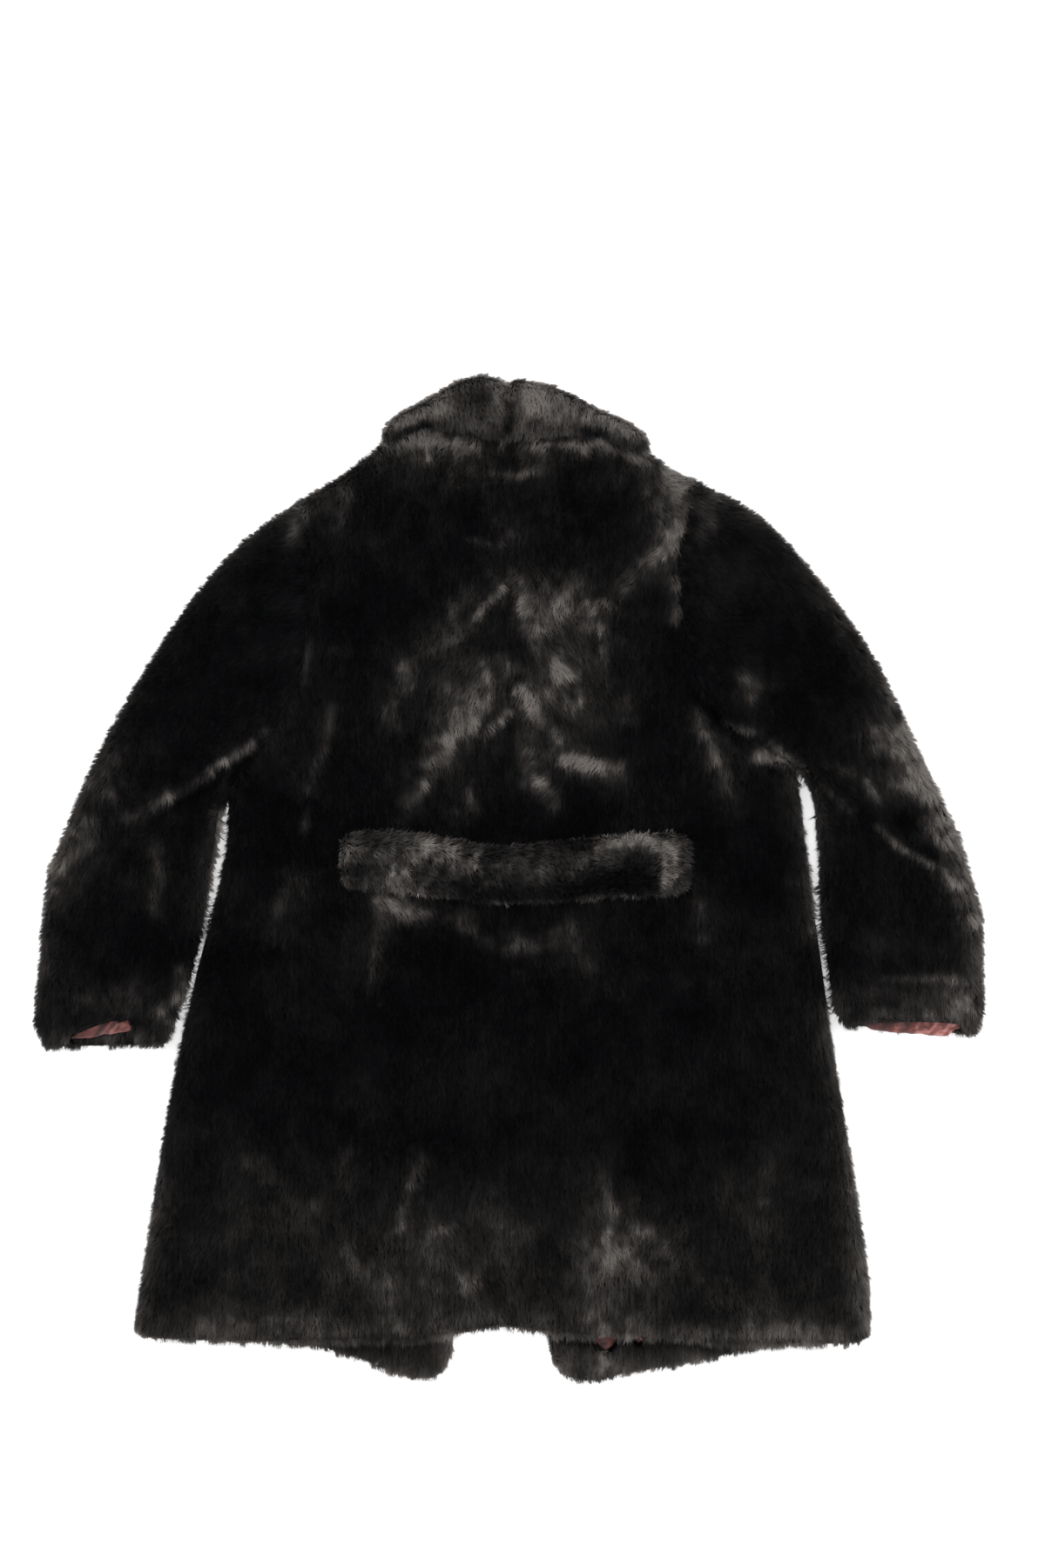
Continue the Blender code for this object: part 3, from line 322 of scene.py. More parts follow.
    Stroke("right elbow, streak", "sleeve", 354, 98, 368, 84, 5, 0.46),
    Stroke("right elbow, dark", "sleeve", 388, 64, 400, 54, 8, -0.20),
    Stroke("right elbow, dark spot", "sleeve", 418, 34, 426, 28, 7, -0.22),
    Stroke("right sleeve specks", "sleeve", 322, 116, 344, 108, 7, 0.2),
    Stroke("right forearm haze", "sleeve", 362, -60, 384, -64, 10, 0.16),
    Stroke("right sleeve edge", "sleeve", 372, 216, 410, 140, 11, 0.26),
    Stroke("right forearm edge", "sleeve", 470, -40, 472, -90, 8, 0.18),
    Stroke("right cuff line", "sleeve", 373, -97, 447, -98, 3.5, 0.3, 0, 1.5),
    Stroke("right cuff", "sleeve", 330, -116, 440, -122, 16, 0.20),
    Stroke("right cuff, above the lining", "sleeve", 362, -136, 448, -139, 7, 0.26),
    Stroke("right cuff, outer", "sleeve", 452, -108, 464, -136, 13, 0.34),
    Stroke("belt, left", "belt", -162, 32, -92, 26, 12, 0.32),
    Stroke("belt, left bright", "belt", -110, 2, -94, -15, 11, 0.48),
    Stroke("belt, left, upper", "belt", -88, 32, -42, 20, 9, 0.34),
    Stroke("belt, left end", "belt", -166, 28, -164, -6, 7, 0.22),
    Stroke("belt, left dark", "belt", -150, 24, -142, 18, 8, -0.14),
    Stroke("belt, middle top", "belt", -56, 16, 72, 18, 10, 0.2),
    Stroke("belt, middle dark", "belt", -40, -17, 95, -9, 9, -0.34),
    Stroke("belt, ring left", "belt", 103, 24, 103, 13, 7, 0.34),
    Stroke("belt, ring top", "belt", 100, 32, 156, 34, 11, 0.52),
    Stroke("belt, ring end", "belt", 160, 28, 157, -2, 9, 0.58),
    Stroke("belt, dark oval", "belt", 100, -2, 138, -5, 11, -0.52, 0, -1.5),
    Stroke("belt, lower rim", "belt", -34, -22, 148, -17, 2.6, 0.34),
)

# Where the pile runs another way than down the cloth.
Comb = namedtuple("Comb", "what on x y reach_x reach_y angle out")
COMBS = (
    Comb("belt, left", "belt", -120, 6, 90, 60, -58, 0.0),
    Comb("belt, top left", "belt", -110, 38, 70, 8, 20, 0.0),
    Comb("belt, top middle", "belt", 0, 27, 60, 8, 80, 0.0),
    Comb("belt, middle", "belt", 20, 6, 60, 40, -36, 0.0),
    Comb("belt, right whorl", "belt", 126, -4, 56, 44, 0, 1.0),
    Comb("upper back, left", "body", -46, 220, 46, 60, -120, 0.0),
    Comb("upper back, right", "body", 52, 220, 46, 60, -60, 0.0),
    Comb("left underarm", "body", -250, 120, 40, 60, -60, 0.0),
)

# Which way the pile of each sleeve runs, by height, as a turn from straight down.
SLEEVE_TURN = {"sleeve_left": -1.0, "sleeve_right": 1.0}
SLEEVE_TOP, SLEEVE_BOTTOM = 330.0, -40.0
SLEEVE_TOP_ANGLE, SLEEVE_BOTTOM_ANGLE = 42.0, 6.0

# How light the pile is before the strokes: all over, with a random spread, and lighter as painted sheen on
# some kinds, easing in from a line across or along the coat, and in a glow round a place.
PLAIN_TONE, TONE_SPREAD = 0.195, 0.08
KIND_SHEEN = {"collar": 0.36, "belt": 0.14}
Slope = namedtuple("Slope", "tone start span")
SKIRT_SLOPE, HEM_SLOPE = Slope(0.16, 200, 150), Slope(0.10, 425, 35)
SHOULDER_SLOPE, SLEEVE_SLOPE = Slope(0.05, 230, 90), Slope(0.10, 380, 80)
Glow = namedtuple("Glow", "tone x y reach_x reach_y power")
UPPER_BACK = Glow(0.09, 5, 190, 110, 95, 1.5)


def ease(share):
    share = np.clip(share, 0.0, 1.0)
    return share * share * (3.0 - 2.0 * share)


def unit(vectors):
    return vectors / np.maximum(np.linalg.norm(vectors, axis=-1, keepdims=True), 1e-9)


def cloud(x, y, noise):
    """Smooth noise over the plan, about -1 to 1, in blots of about its size."""
    table = np.random.default_rng(noise.seed).uniform(-1, 1, (NOISE_NODES, NOISE_NODES))
    total = np.zeros(len(x))
    for octave in range(noise.octaves):
        across = x / noise.size * 2**octave + OCTAVE_SHIFT[0] * octave
        up = y / noise.size * 2**octave + OCTAVE_SHIFT[1] * octave
        i, j = np.floor(across).astype(int), np.floor(up).astype(int)
        f, g = ease(across - i), ease(up - j)
        i, j, i_next, j_next = (at % NOISE_NODES for at in (i, j, i + 1, j + 1))
        low = table[i, j] * (1 - f) + table[i_next, j] * f
        high = table[i, j_next] * (1 - f) + table[i_next, j_next] * f
        total += (low * (1 - g) + high * g) / 2**octave
    return total


def edge_share(normals):
    """1 where the cloth faces sideways, 0 where it faces up or down."""
    return ease((SIDE_FROM - np.abs(normals[:, 2])) / SIDE_SPAN)


def nearness(row, x, y):
    """1 on a stroke's line, easing to 0 beyond its width, with a faint halo."""
    run_x, run_y = row.x2 - row.x1, row.y2 - row.y1
    length = math.hypot(run_x, run_y)
    along = ((x - row.x1) * run_x + (y - row.y1) * run_y) / length
    across = ((x - row.x1) * run_y - (y - row.y1) * run_x) / length
    past = np.maximum(np.maximum(-along, along - length), 0.0)
    share = (across**2 + past**2) / row.width**2
    return CORE * np.exp(-(share**CORE_POWER)) + (1 - CORE) * np.exp(-share / HALO**2)


def lies_on(row, kind):
    return row.on == "both" and kind not in ("belt", "collar") or kind.startswith(row.on)


def stroke_sums(kind, x, y, *fields):
    """The sums of the strokes' fields at these places, each stroke with a ragged outline."""
    sums = np.zeros((len(fields), len(x)))
    ragged_x, ragged_y = RAGGED * cloud(x, y, RAGGED_X), RAGGED * cloud(x, y, RAGGED_Y)
    for row in STROKES:
        reach = row.width * STROKE_REACH
        near = (x > min(row.x1, row.x2) - reach) & (x < max(row.x1, row.x2) + reach)
        near &= (y > min(row.y1, row.y2) - reach) & (y < max(row.y1, row.y2) + reach)
        if lies_on(row, kind) and near.any():
            near_x = x[near] + row.width * ragged_x[near]
            share = nearness(row, near_x, y[near] + row.width * ragged_y[near])
            for total, field in zip(sums, fields):
                total[near] += getattr(row, field) * share
    return sums


def link(name, data):
    """A new object in the scene."""
    item = bpy.data.objects.new(name, data)
    bpy.context.scene.collection.objects.link(item)
    return item


def finished(work, name, material):
    """An object made from a work mesh, smooth and of one material."""
    mesh = bpy.data.meshes.new(name)
    work.to_mesh(mesh)
    work.free()
    mesh.shade_smooth()
    mesh.materials.clear()
    mesh.materials.append(material)
    return link(name, mesh)


# ---------------------------------------------------------------- the cloth under the pile
def world_mesh(node):
    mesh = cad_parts[node].data
    return [v.co.copy() for v in mesh.vertices], [tuple(p.vertices) for p in mesh.polygons]


class Surroundings:
    """Rays against all the solids, saying which one is hit."""

    def __init__(self):
        self.points, self.faces, self.owner = [], [], []
        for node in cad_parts:
            own_points, own_faces = world_mesh(node)
            start = len(self.points)
            self.points += own_points
            self.faces += [tuple(start + i for i in face) for face in own_faces]
            self.owner += [node] * len(own_faces)
        self.tree = BVHTree.FromPolygons(self.points, self.faces)

    def without(self, node):
        """The solids other than this one."""
        kept = [face for face, owner in zip(self.faces, self.owner) if owner != node]
        return BVHTree.FromPolygons(self.points, kept)

    def hit(self, place, direction, reach):
        _, _, face, distance = self.tree.ray_cast(place + direction * NUDGE, direction, reach)
        return (None, reach) if face is None else (self.owner[face], distance)


class Outline:
    """How far a place lies outside the coat's plan, as a field of distances read between its nodes."""

    def __init__(self):
        low, high = np.array(cad_box)[:, :2] / MM
        self.corner = low - OUTLINE_REACH
        count = np.ceil((high - low + 2 * OUTLINE_REACH) / OUTLINE_STEP).astype(int) + 1
        covered = np.zeros(count, bool)
        for i in range(count[0]):
            for j in range(count[1]):
                covered[i, j] = seen_at(self.corner + (i * OUTLINE_STEP, j * OUTLINE_STEP)) is not None
        covered = self.closed(covered)
        self.field = self.distances(covered) - self.distances(~covered)

    @staticmethod
    def closed(covered):
        """The plan with the narrow gaps of its seams filled in."""
        for fill in (np.any, np.all):
            covered = fill([np.roll(covered, (i, j), (0, 1)) for i in (-1, 0, 1) for j in (-1, 0, 1)], 0)
        return covered

    @staticmethod
    def distances(near):
        """The distance of each node to the nearest one that is near, within the reach."""
        field = np.where(near, 0.0, 10 * OUTLINE_REACH)
        for _ in range(int(OUTLINE_REACH / OUTLINE_STEP)):
            for across, up in ((1, 0), (-1, 0), (0, 1), (0, -1), (1, 1), (1, -1), (-1, 1), (-1, -1)):
                moved = np.roll(field, (across, up), (0, 1)) + math.hypot(across, up) * OUTLINE_STEP
                field = np.minimum(field, moved)
        return np.minimum(field, OUTLINE_REACH)

    def past(self, places):
        at = (places - self.corner) / OUTLINE_STEP
        at = np.clip(at, 0, np.array(self.field.shape) - FIELD_MARGIN)
        i, j = np.floor(at).astype(int).T
        f, g = (at - np.floor(at)).T
        low = self.field[i, j] * (1 - f) + self.field[i + 1, j] * f
        high = self.field[i, j + 1] * (1 - f) + self.field[i + 1, j + 1] * f
        return low * (1 - g) + high * g


def seen_at(place):
    """The solid seen from straight above this place."""
    start = Vector((place[0] * MM, place[1] * MM, LOOK_FROM))
    return around.hit(start, Vector((0, 0, -1)), LOOK_DOWN)[0]


def refined(node, longest, rounds):
    """A node's mesh, with its corners joined and its long edges divided."""
    work = bmesh.new()
    work.from_mesh(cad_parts[node].data)
    bmesh.ops.remove_doubles(work, verts=work.verts, dist=WELD)
    for _ in range(rounds):
        long = [e for e in work.edges if e.calc_length() > longest * MM]
        if not long:
            break
        bmesh.ops.subdivide_edges(work, edges=long, cuts=1)
        bmesh.ops.triangulate(work, faces=work.faces)
    work.normal_update()
    work.verts.ensure_lookup_table()
    return work


def survey(work, row):
    """At each point: its normal, how much it shows, the pile's depth, its way in and its seam's draw."""
    group = {other.node for other in SHELLS if row.group and other.group == row.group} | {row.node}
    normals = np.array([v.normal for v in work.verts])
    shows, inset = np.zeros(len(normals)), np.zeros(len(normals))
    ways, pushes = normals.copy(), np.zeros((len(normals), 3))
    own, others = BVHTree.FromBMesh(work), around.without(row.node)
    for i, v in enumerate(work.verts):
        name, distance = around.hit(v.co, v.normal, HIDDEN_REACH * MM)
        if name not in group:
            shows[i] = ease((distance / MM - CONTACT) / (CLEAR - CONTACT))
        _, _, _, thick = own.ray_cast(v.co - v.normal * NUDGE, -v.normal, THICK_REACH * MM)
        inset[i] = min(row.inset, 0.5 * (thick / MM if thick else row.inset * 2))
        spot, _, _, away = others.find_nearest(v.co, SEAM_GAP * MM)
        if spot is not None and away > TOUCHING:
            toward = np.array((spot - v.co) / away)
            ways[i] -= toward * max(ways[i] @ toward, 0.0)
            pushes[i] = toward * away / MM * SEAM_REACH
    return normals, shows, inset, ways, pushes


def evened(work, inset):
    """The depths, each made no more than the mean of its own and its neighbours'."""
    edges = np.array([[e.verts[0].index, e.verts[1].index] for e in work.edges])
    for _ in range(INSET_ROUNDS):
        total, share = inset.copy(), np.ones(len(inset))
        np.add.at(total, edges[:, 0], inset[edges[:, 1]])
        np.add.at(total, edges[:, 1], inset[edges[:, 0]])
        np.add.at(share, edges.ravel(), 1.0)
        inset = np.minimum(inset, total / share)
    return inset


def make_shell(row):
    """The cloth of one cut piece: its solid with the pile's depth taken off wherever it shows."""
    work = refined(row.node, LONGEST_EDGE, EDGE_ROUNDS)
    normals, shows, inset, ways, pushes = survey(work, row)
    only_up = {"use_axis_x": False, "use_axis_y": False, "use_axis_z": True}
    bmesh.ops.smooth_vert(work, verts=work.verts, factor=SMOOTHING, **only_up)
    places = np.array([v.co for v in work.verts]) / MM
    inset = evened(work, inset)
    inset *= 1 - (1 - EDGE_INSET) * edge_share(normals)
    flat = ease((-normals[:, 2] - FLAT_FROM) / FLAT_SPAN)
    depth = (inset * (1 - flat) + np.minimum(inset, FLOOR_INSET) * flat) * shows
    x, y, on_top = places[:, 0], places[:, 1], normals[:, 2] > TOP_FACING
    rise = stroke_sums(row.kind, x, y, "rise")[0] * on_top * shows
    rise += CLOTH_SWELL * cloud(x, y, CLOTH) * on_top * shows
    moved = places - ways * depth[:, None] + pushes
    moved[:, 2] += rise
    moved[:, 2] = np.maximum(moved[:, 2], LEAST_HEIGHT)
    for v, place in zip(work.verts, moved):
        v.co = Vector(place * MM)
    piece = finished(work, "cloth_" + row.node, ground)
    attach(piece, "root")
    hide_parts(row.node)
    return piece, shows


def open_armhole(shell, node):
    """Opens a sleeve's cloth at its armhole, roughly, by taking off the upright faces near other pieces."""
    work, others = bmesh.new(), around.without(node)
    work.from_mesh(shell.data)
    work.normal_update()
    seam = []
    for face in work.faces:
        spot, _, _, _ = others.find_nearest(face.calc_center_median(), ARMHOLE_REACH * MM)
        if spot is not None and abs(face.normal.z) < UPRIGHT:
            seam.append(face)
    bmesh.ops.delete(work, geom=seam, context="FACES")
    work.to_mesh(shell.data)
    work.free()


# ---------------------------------------------------------------- the pile
UP = np.array([0.0, 0.0, 1.0])
# A strand's faces, and how far up it each of its points is, by its number of points.
STRANDS = {
    3: (((0, 1, 2),), np.array([0.0, 0.0, 1.0])),
    5: (((0, 1, 3, 2), (2, 3, 4)), np.array([0.0, 0.0, 0.5, 0.5, 1.0])),
}
# Half a strand's width on its map, where its root and tip are on it, and how far laid pile's root rises out
# of the painted root shade.
MAP_HALF, MAP_ROOT, MAP_TIP, ROOT_LIFT = 0.002, 0.02, 0.98, 0.35


def nap(kind, x, y, turn):
    """The way the pile runs over the plan, as unit vectors, turned by the strokes."""
    angle = np.full(len(x), NAP_DOWN)
    if kind in SLEEVE_TURN:
        share = ease((y - SLEEVE_BOTTOM) / (SLEEVE_TOP - SLEEVE_BOTTOM))
        angle += SLEEVE_TURN[kind] * (SLEEVE_BOTTOM_ANGLE + (SLEEVE_TOP_ANGLE - SLEEVE_BOTTOM_ANGLE) * share)
    angle += turn + NAP_WANDER * cloud(x, y, NAP) + FINE_WANDER * cloud(x, y, FINE_NAP)
    radians = np.radians(angle)
    ways = np.stack([np.cos(radians), np.sin(radians)], 1)
    for comb in COMBS:
        if not kind.startswith(comb.on):
            continue
        off = np.stack([x - comb.x, y - comb.y], 1)
        weight = np.exp(-((off[:, 0] / comb.reach_x) ** 2 + (off[:, 1] / comb.reach_y) ** 2))[:, None]
        way = np.array([math.cos(math.radians(comb.angle)), math.sin(math.radians(comb.angle))])
        way = way * (1 - comb.out) + unit(off) * comb.out
        ways = ways * (1 - weight) + way * weight * COMB_PULL
    return unit(ways)


def region_tone(kind, x, y):
    """How light the pile is before the strokes, its painted sheen included."""
    on_body, glow = kind == "body", UPPER_BACK
    low_down = on_body or kind == "hem"
    tone = PLAIN_TONE + TONE_SPREAD * cloud(x, y, TONE)
    tone += SKIRT_SLOPE.tone * ease((-y - SKIRT_SLOPE.start) / SKIRT_SLOPE.span) * low_down
    off = ((x - glow.x) / glow.reach_x) ** 2 + ((y - glow.y) / glow.reach_y) ** 2
    tone += glow.tone * np.exp(-(off**glow.power)) * on_body
    tone += HEM_SLOPE.tone * ease((-y - HEM_SLOPE.start) / HEM_SLOPE.span) * low_down
    tone += SHOULDER_SLOPE.tone * ease((y - SHOULDER_SLOPE.start) / SHOULDER_SLOPE.span) * on_body
    tone += KIND_SHEEN.get(kind, 0.0)
    if kind.startswith("sleeve"):
        tone += SLEEVE_SLOPE.tone * ease((np.abs(x) - SLEEVE_SLOPE.start) / SLEEVE_SLOPE.span)
    return tone


def read_all(items, field, kind, width):
    """A field of all of a mesh's items, as rows of this width."""
    values = np.empty(len(items) * width, kind)
    items.foreach_get(field, values)
    return values.reshape(-1, width)


def sampled(shell, shows, row, rng):
    """Roots over the shown faces: places, normals, how much each shows."""
    mesh = shell.data
    mesh.calc_loop_triangles()
    corners = read_all(mesh.loop_triangles, "vertices", np.int32, 3)
    places = read_all(mesh.vertices, "co", np.float32, 3).astype(float) / MM
    normals = read_all(mesh.vertices, "normal", np.float32, 3).astype(float)
    a, b, c = (places[corners[:, i]] for i in range(3))
    cross = np.cross(b - a, c - a)
    area = np.linalg.norm(cross, axis=1) / 2
    facing = unit(cross)[:, 2]
    share = shows[corners].mean(1)
    dense = np.where(facing < UNDER_FACING, UNDER_DENSITY, TOP_DENSITY * row.density)
    shown = np.where(share > LEAST_SHARE, 1.0, 0.0)
    want = area * SQUARE_MM * dense * shown * np.maximum(share, THINNEST_SHARE)
    total = int(want.sum())
    steps = np.cumsum(want)
    picked = np.searchsorted(steps, (np.arange(total) + rng.random(total)) / total * steps[-1])
    picked = np.minimum(picked, len(want) - 1)
    u, v = rng.random(total), rng.random(total)
    over = u + v > 1
    u, v = np.where(over, 1 - u, u), np.where(over, 1 - v, v)
    weights = np.stack([1 - u - v, u, v], 1)[:, :, None]
    roots = (places[corners[picked]] * weights).sum(1)
    ways = unit((normals[corners[picked]] * weights).sum(1))
    return roots, ways, (shows[corners[picked]] * weights[:, :, 0]).sum(1)


def painted_rim_light(kind, places):
    """Painted rim light: how much lighter the pile is along the coat's outline, by the way the outline faces
    there.
    """
    step = np.array([[RIM_STEP, 0.0], [0.0, RIM_STEP]])
    slope = np.stack([outline.past(places + s) - outline.past(places - s) for s in step], 1)
    right, up = unit(slope).T
    by_side = np.maximum(right, 0) ** 2 * RIM_RIGHT + np.maximum(-right, 0) ** 2 * RIM_LEFT
    by_side += np.maximum(up, 0) ** 2 * RIM_UP + np.maximum(-up, 0) ** 2 * RIM_DOWN
    if kind == "collar":
        by_side = np.full(len(places), RIM_COLLAR)
    return by_side * np.exp(np.minimum(outline.past(places), 0.0) / RIM_REACH)


def combed(row, roots, normals, turned, rng):
    """The way each strand runs along the cloth."""
    way = nap(row.kind, roots[:, 0], roots[:, 1], turned)
    turn = np.radians(rng.normal(0, WANDER[row.kind == "belt"], len(roots)))
    across = way[:, 0] * np.cos(turn) - way[:, 1] * np.sin(turn)
    up = way[:, 0] * np.sin(turn) + way[:, 1] * np.cos(turn)
    way = np.stack([across, up, np.zeros(len(roots))], 1)
    return unit(way - normals * (way * normals).sum(1, keepdims=True))


def locks(roots, edge):
    """Each strand's lock, a cell a few millimetres across, and a normal draw for all of the lock."""
    x, y = roots[:, 0], roots[:, 1]
    side_height = np.where(edge > ON_SIDE, roots[:, 2], 0.0)
    lock_x, lock_y = x + LOCK_WAVER * cloud(x, y, LOCK_X), y + LOCK_WAVER * cloud(x, y, LOCK_Y)
    cell = np.floor(np.stack([lock_x, lock_y, side_height], 1) / LOCK)
    table = np.random.default_rng(LOCK_SEED).normal(0, 1, (LOCK_NODES, LOCK_NODES))
    column, line, layer = cell.astype(int).T
    column, line = column + LOCK_SKEW[0] * layer, line + LOCK_SKEW[1] * layer
    return cell, table[column % LOCK_NODES, line % LOCK_NODES]


def leaned(kind, x, y, laid, edge, down, rng):
    """How far each strand leans from the cloth's normal, in radians."""
    lean = LEAN + LEAN_SPREAD * cloud(x, y, LEANING) + LAID_LEAN * laid + rng.normal(0, STRAND_LEAN, len(x))
    lean += COLLAR_LEAN * (kind == "collar")
    lean -= EDGE_RISE * edge
    most = MOST_LEAN + (MOST_UNDER_LEAN - MOST_LEAN) * down
    return np.radians(np.clip(lean * (1 - down) + UNDER_LEAN * down, LEAST_LEAN, most))


def lengths(row, shows, edge, tufted, lock, rng):
    """How long each strand is: shorter where cloth is hidden or faces sideways, and uneven in tufts."""
    reach = row.pile * (SHORTEST + LENGTH_SPREAD * rng.random(len(shows)))
    reach *= HIDDEN_LENGTH + SHOWN_LENGTH * shows
    reach *= 1 - (1 - EDGE_PILE[row.kind == "belt"]) * edge
    reach *= 1 + TUFT_REACH * edge * tufted * np.clip(lock, -MOST_LOCK, MOST_LOCK)
    return reach[:, None]


def trimmed(roots, middle, tip, tufted, lock, rng):
    """The strands ended a little past the coat's outline, further in some tufts than in others."""
    past = outline.past(tip[:, :2]) - OVERHANG - TUFT_OVERHANG * tufted * np.clip(lock, -MOST_LOCK, MOST_TUFT)
    past -= FRAY * rng.standard_normal(len(roots))
    run = np.linalg.norm(tip[:, :2] - roots[:, :2], axis=1)
    kept = (1 - np.clip(past / np.maximum(run, 1.0), 0.0, MOST_CUT))[:, None]
    return roots + (middle - roots) * kept, roots + (tip - roots) * kept


def widened(row, roots, middle, tip, first, facing, wider, rng):
    """The corners of each flat strand, rolled a little about its own length."""
    side = unit(np.cross(first, facing) + 1e-6)
    roll = rng.normal(0, ROLL, len(roots))[:, None]
    side = side * np.cos(roll) + unit(np.cross(side, first)) * np.sin(roll)
    half = row.width * (NARROWEST + WIDTH_SPREAD * rng.random(len(roots))) / 2
    half = (half * wider)[:, None]
    if row.kind == "belt":
        points = [roots - side * half * ROOT_WIDTH, roots + side * half * ROOT_WIDTH]
        points += [middle - side * half, middle + side * half, tip]
    else:
        points = [roots - side * half, roots + side * half, tip]
    points = np.stack(points, 1)
    points[:, :, 2] = np.maximum(points[:, :, 2], LEAST_HEIGHT)
    return points


def toned(kind, roots, painted, laid, lock, edge, down, rng):
    """How light each strand is, by its region and the strokes, with their painted sheen and shade, by painted
    rim light, by painted shade under the cloth, by the grain and by its lock.
    """
    x, y, long_pile = roots[:, 0], roots[:, 1], kind == "belt"
    grain = GRAIN * cloud(x, GRAIN_STRETCH * y, FINE_GRAIN) + WIDE_GRAIN * cloud(x, y, BROAD_GRAIN)
    blots = 1.0 + BLOTS * cloud(x, y, BLOT)
    # Painted rim light along the outline, stronger on the cloth's sides.
    rim_light = painted_rim_light(kind, roots[:, :2]) * (1 - ease(painted / RIM_PAINTED))
    rim_light *= 1 + RIM_EDGE * edge
    # Painted rim light on the belt's sides and painted shade where the cloth faces down.
    tone = region_tone(kind, x, y) + BELT_RIM_LIGHT * long_pile * edge + rim_light - UNDER_SHADE * down
    paint = PAINT + PAINT_GRAIN * grain + PAINT_SPREAD * rng.random(len(x))
    tone += painted * blots * paint + PLAIN_GRAIN * grain
    by_lock = LOCK_TONE + BELT_LOCK_TONE * long_pile + LAID_LOCK_TONE * laid
    tone += rng.normal(0, STRAND_TONE, len(x)) + lock * by_lock
    return np.clip(tone, DARKEST, LIGHTEST)


def grow(row, roots, normals, shows, rng):
    """Strands as (points of each, tone of each, how far each is laid down or turned up at the outline, which
    lifts its root out of the painted root shade).
    """
    x, y = roots[:, 0], roots[:, 1]
    down, edge = ease((-normals[:, 2] - DOWN_FROM) / DOWN_SPAN), edge_share(normals)
    # The strokes' tone is painted sheen where it is lighter and painted shade where it is darker.
    painted, turned = stroke_sums(row.kind, x, y, "tone", "turn")
    laid = np.clip(painted, 0, 1)
    along = combed(row, roots, normals, turned, rng)
    cell, lock = locks(roots, edge)
    # Tufts stand out at the hem and cuffs, where the pile runs off the edge, and less elsewhere.
    runs_off = -normals[:, 1] / np.maximum(np.hypot(*normals[:, :2].T), FLATTEST)
    tufted = SIDE_TUFTS + (1 - SIDE_TUFTS) * ease((runs_off - RUNS_OFF) / RUNS_OFF_SPAN)
    lean = leaned(row.kind, x, y, laid, edge, down, rng)[:, None]
    reach = lengths(row, shows, edge, tufted, lock, rng)
    first = unit(along * np.sin(lean - BEND) + normals * np.cos(lean - BEND))
    last = unit(along * np.sin(lean + BEND) + normals * np.cos(lean + BEND))
    middle = roots + first * (reach / 2)
    tip = middle + last * (reach / 2)
    # The tips of a lock are drawn towards its middle, most of all in tufts.
    gather = LOCK_PULL[row.kind == "belt"]
    gather = (gather + (EDGE_PULL - gather) * edge * tufted) * (1 - UNDER_PULL * down)
    pull = ((cell + 0.5) * LOCK - roots) * gather[:, None]
    pull[:, 2] *= edge > ON_SIDE
    middle, tip = trimmed(roots, middle + pull * MIDDLE_PULL, tip + pull, tufted, lock, rng)
    # Along the outline their flat sides turn up.
    brink = (edge * np.exp(-((outline.past(roots[:, :2]) / BRINK_REACH) ** 2)))[:, None] * BRINK_TURN
    wider = 1 + UNDER_WIDTH * down + TUFT_WIDTH * edge * tufted
    facing = normals * (1 - brink) + UP * brink
    points = widened(row, roots, middle, tip, first, facing, wider, rng)
    tone = toned(row.kind, roots, painted, laid, lock, edge, down, rng)
    return points, tone, np.maximum(laid, brink[:, 0])


def hides_lining(points):
    """Which strands hang over a lining that the cloth leaves bare, or fringe its bare edge."""
    hides = np.zeros(len(points), bool)
    x, y = points[:, 0, 0], points[:, 0, 1]
    for node, lining in LININGS.items():
        bare_edge = lining.bare_edge
        corners = np.array([v.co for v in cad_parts[node].data.vertices]) / MM
        low, high = corners.min(0)[:2] - bare_edge, corners.max(0)[:2] + bare_edge
        share = LINING_OVERLAP + LINING_RAGGED * cloud(x, y, LINING_EDGE)
        share = (share - DULL_OVERLAP * shaded_end(x, low[0], high[0]) * (bare_edge > 0))[:, None]
        middle = points[:, 0] * (1 - share) + points[:, -1] * share
        near = ((middle[:, :2] > low) & (middle[:, :2] < high)).all(1)
        for i in np.flatnonzero(near):
            places = [middle[i]] + [points[i, -1] + (0, bare_edge, 0)] * (bare_edge > 0)
            hides[i] = any(seen_at(place) == node for place in places)
    return hides


def strand_mesh(name, points, tone, laid):
    """One mesh of many flat strands. Their map has the tone across and root to tip upwards, which gives the
    painted shade at the root.
    """
    count, corners = points.shape[:2]
    mesh = bpy.data.meshes.new(name)
    mesh.vertices.add(count * corners)
    mesh.vertices.foreach_set("co", (points.reshape(-1) * MM).astype(np.float32))
    rings, ups = STRANDS[corners]
    order = np.concatenate(rings)
    mesh.loops.add(count * len(order))
    indices = np.arange(count)[:, None] * corners + order
    mesh.loops.foreach_set("vertex_index", indices.ravel().astype(np.int32))
    mesh.polygons.add(count * len(rings))
    sizes = [len(ring) for ring in rings]
    starts = np.arange(count)[:, None] * len(order) + np.cumsum([0, *sizes[:-1]])
    mesh.polygons.foreach_set("loop_start", starts.ravel().astype(np.int32))
    mesh.polygons.foreach_set("loop_total", np.tile(sizes, count).astype(np.int32))
    mesh.update(calc_edges=True)
    layer = mesh.uv_layers.new(name="OFBake", do_init=False)
    sides = np.where(order == corners - 1, 0, np.where(order % 2 == 0, -1, 1)) * MAP_HALF
    root = MAP_ROOT + ROOT_LIFT * laid[:, None]
    uv = np.stack([tone[:, None] + sides, root + (MAP_TIP - root) * ups[order]], 2)
    layer.uv.foreach_set("vector", uv.reshape(-1).astype(np.float32))
    mesh.materials.append(fur)
    piece = link(name, mesh)
    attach(piece, "root")
    return piece
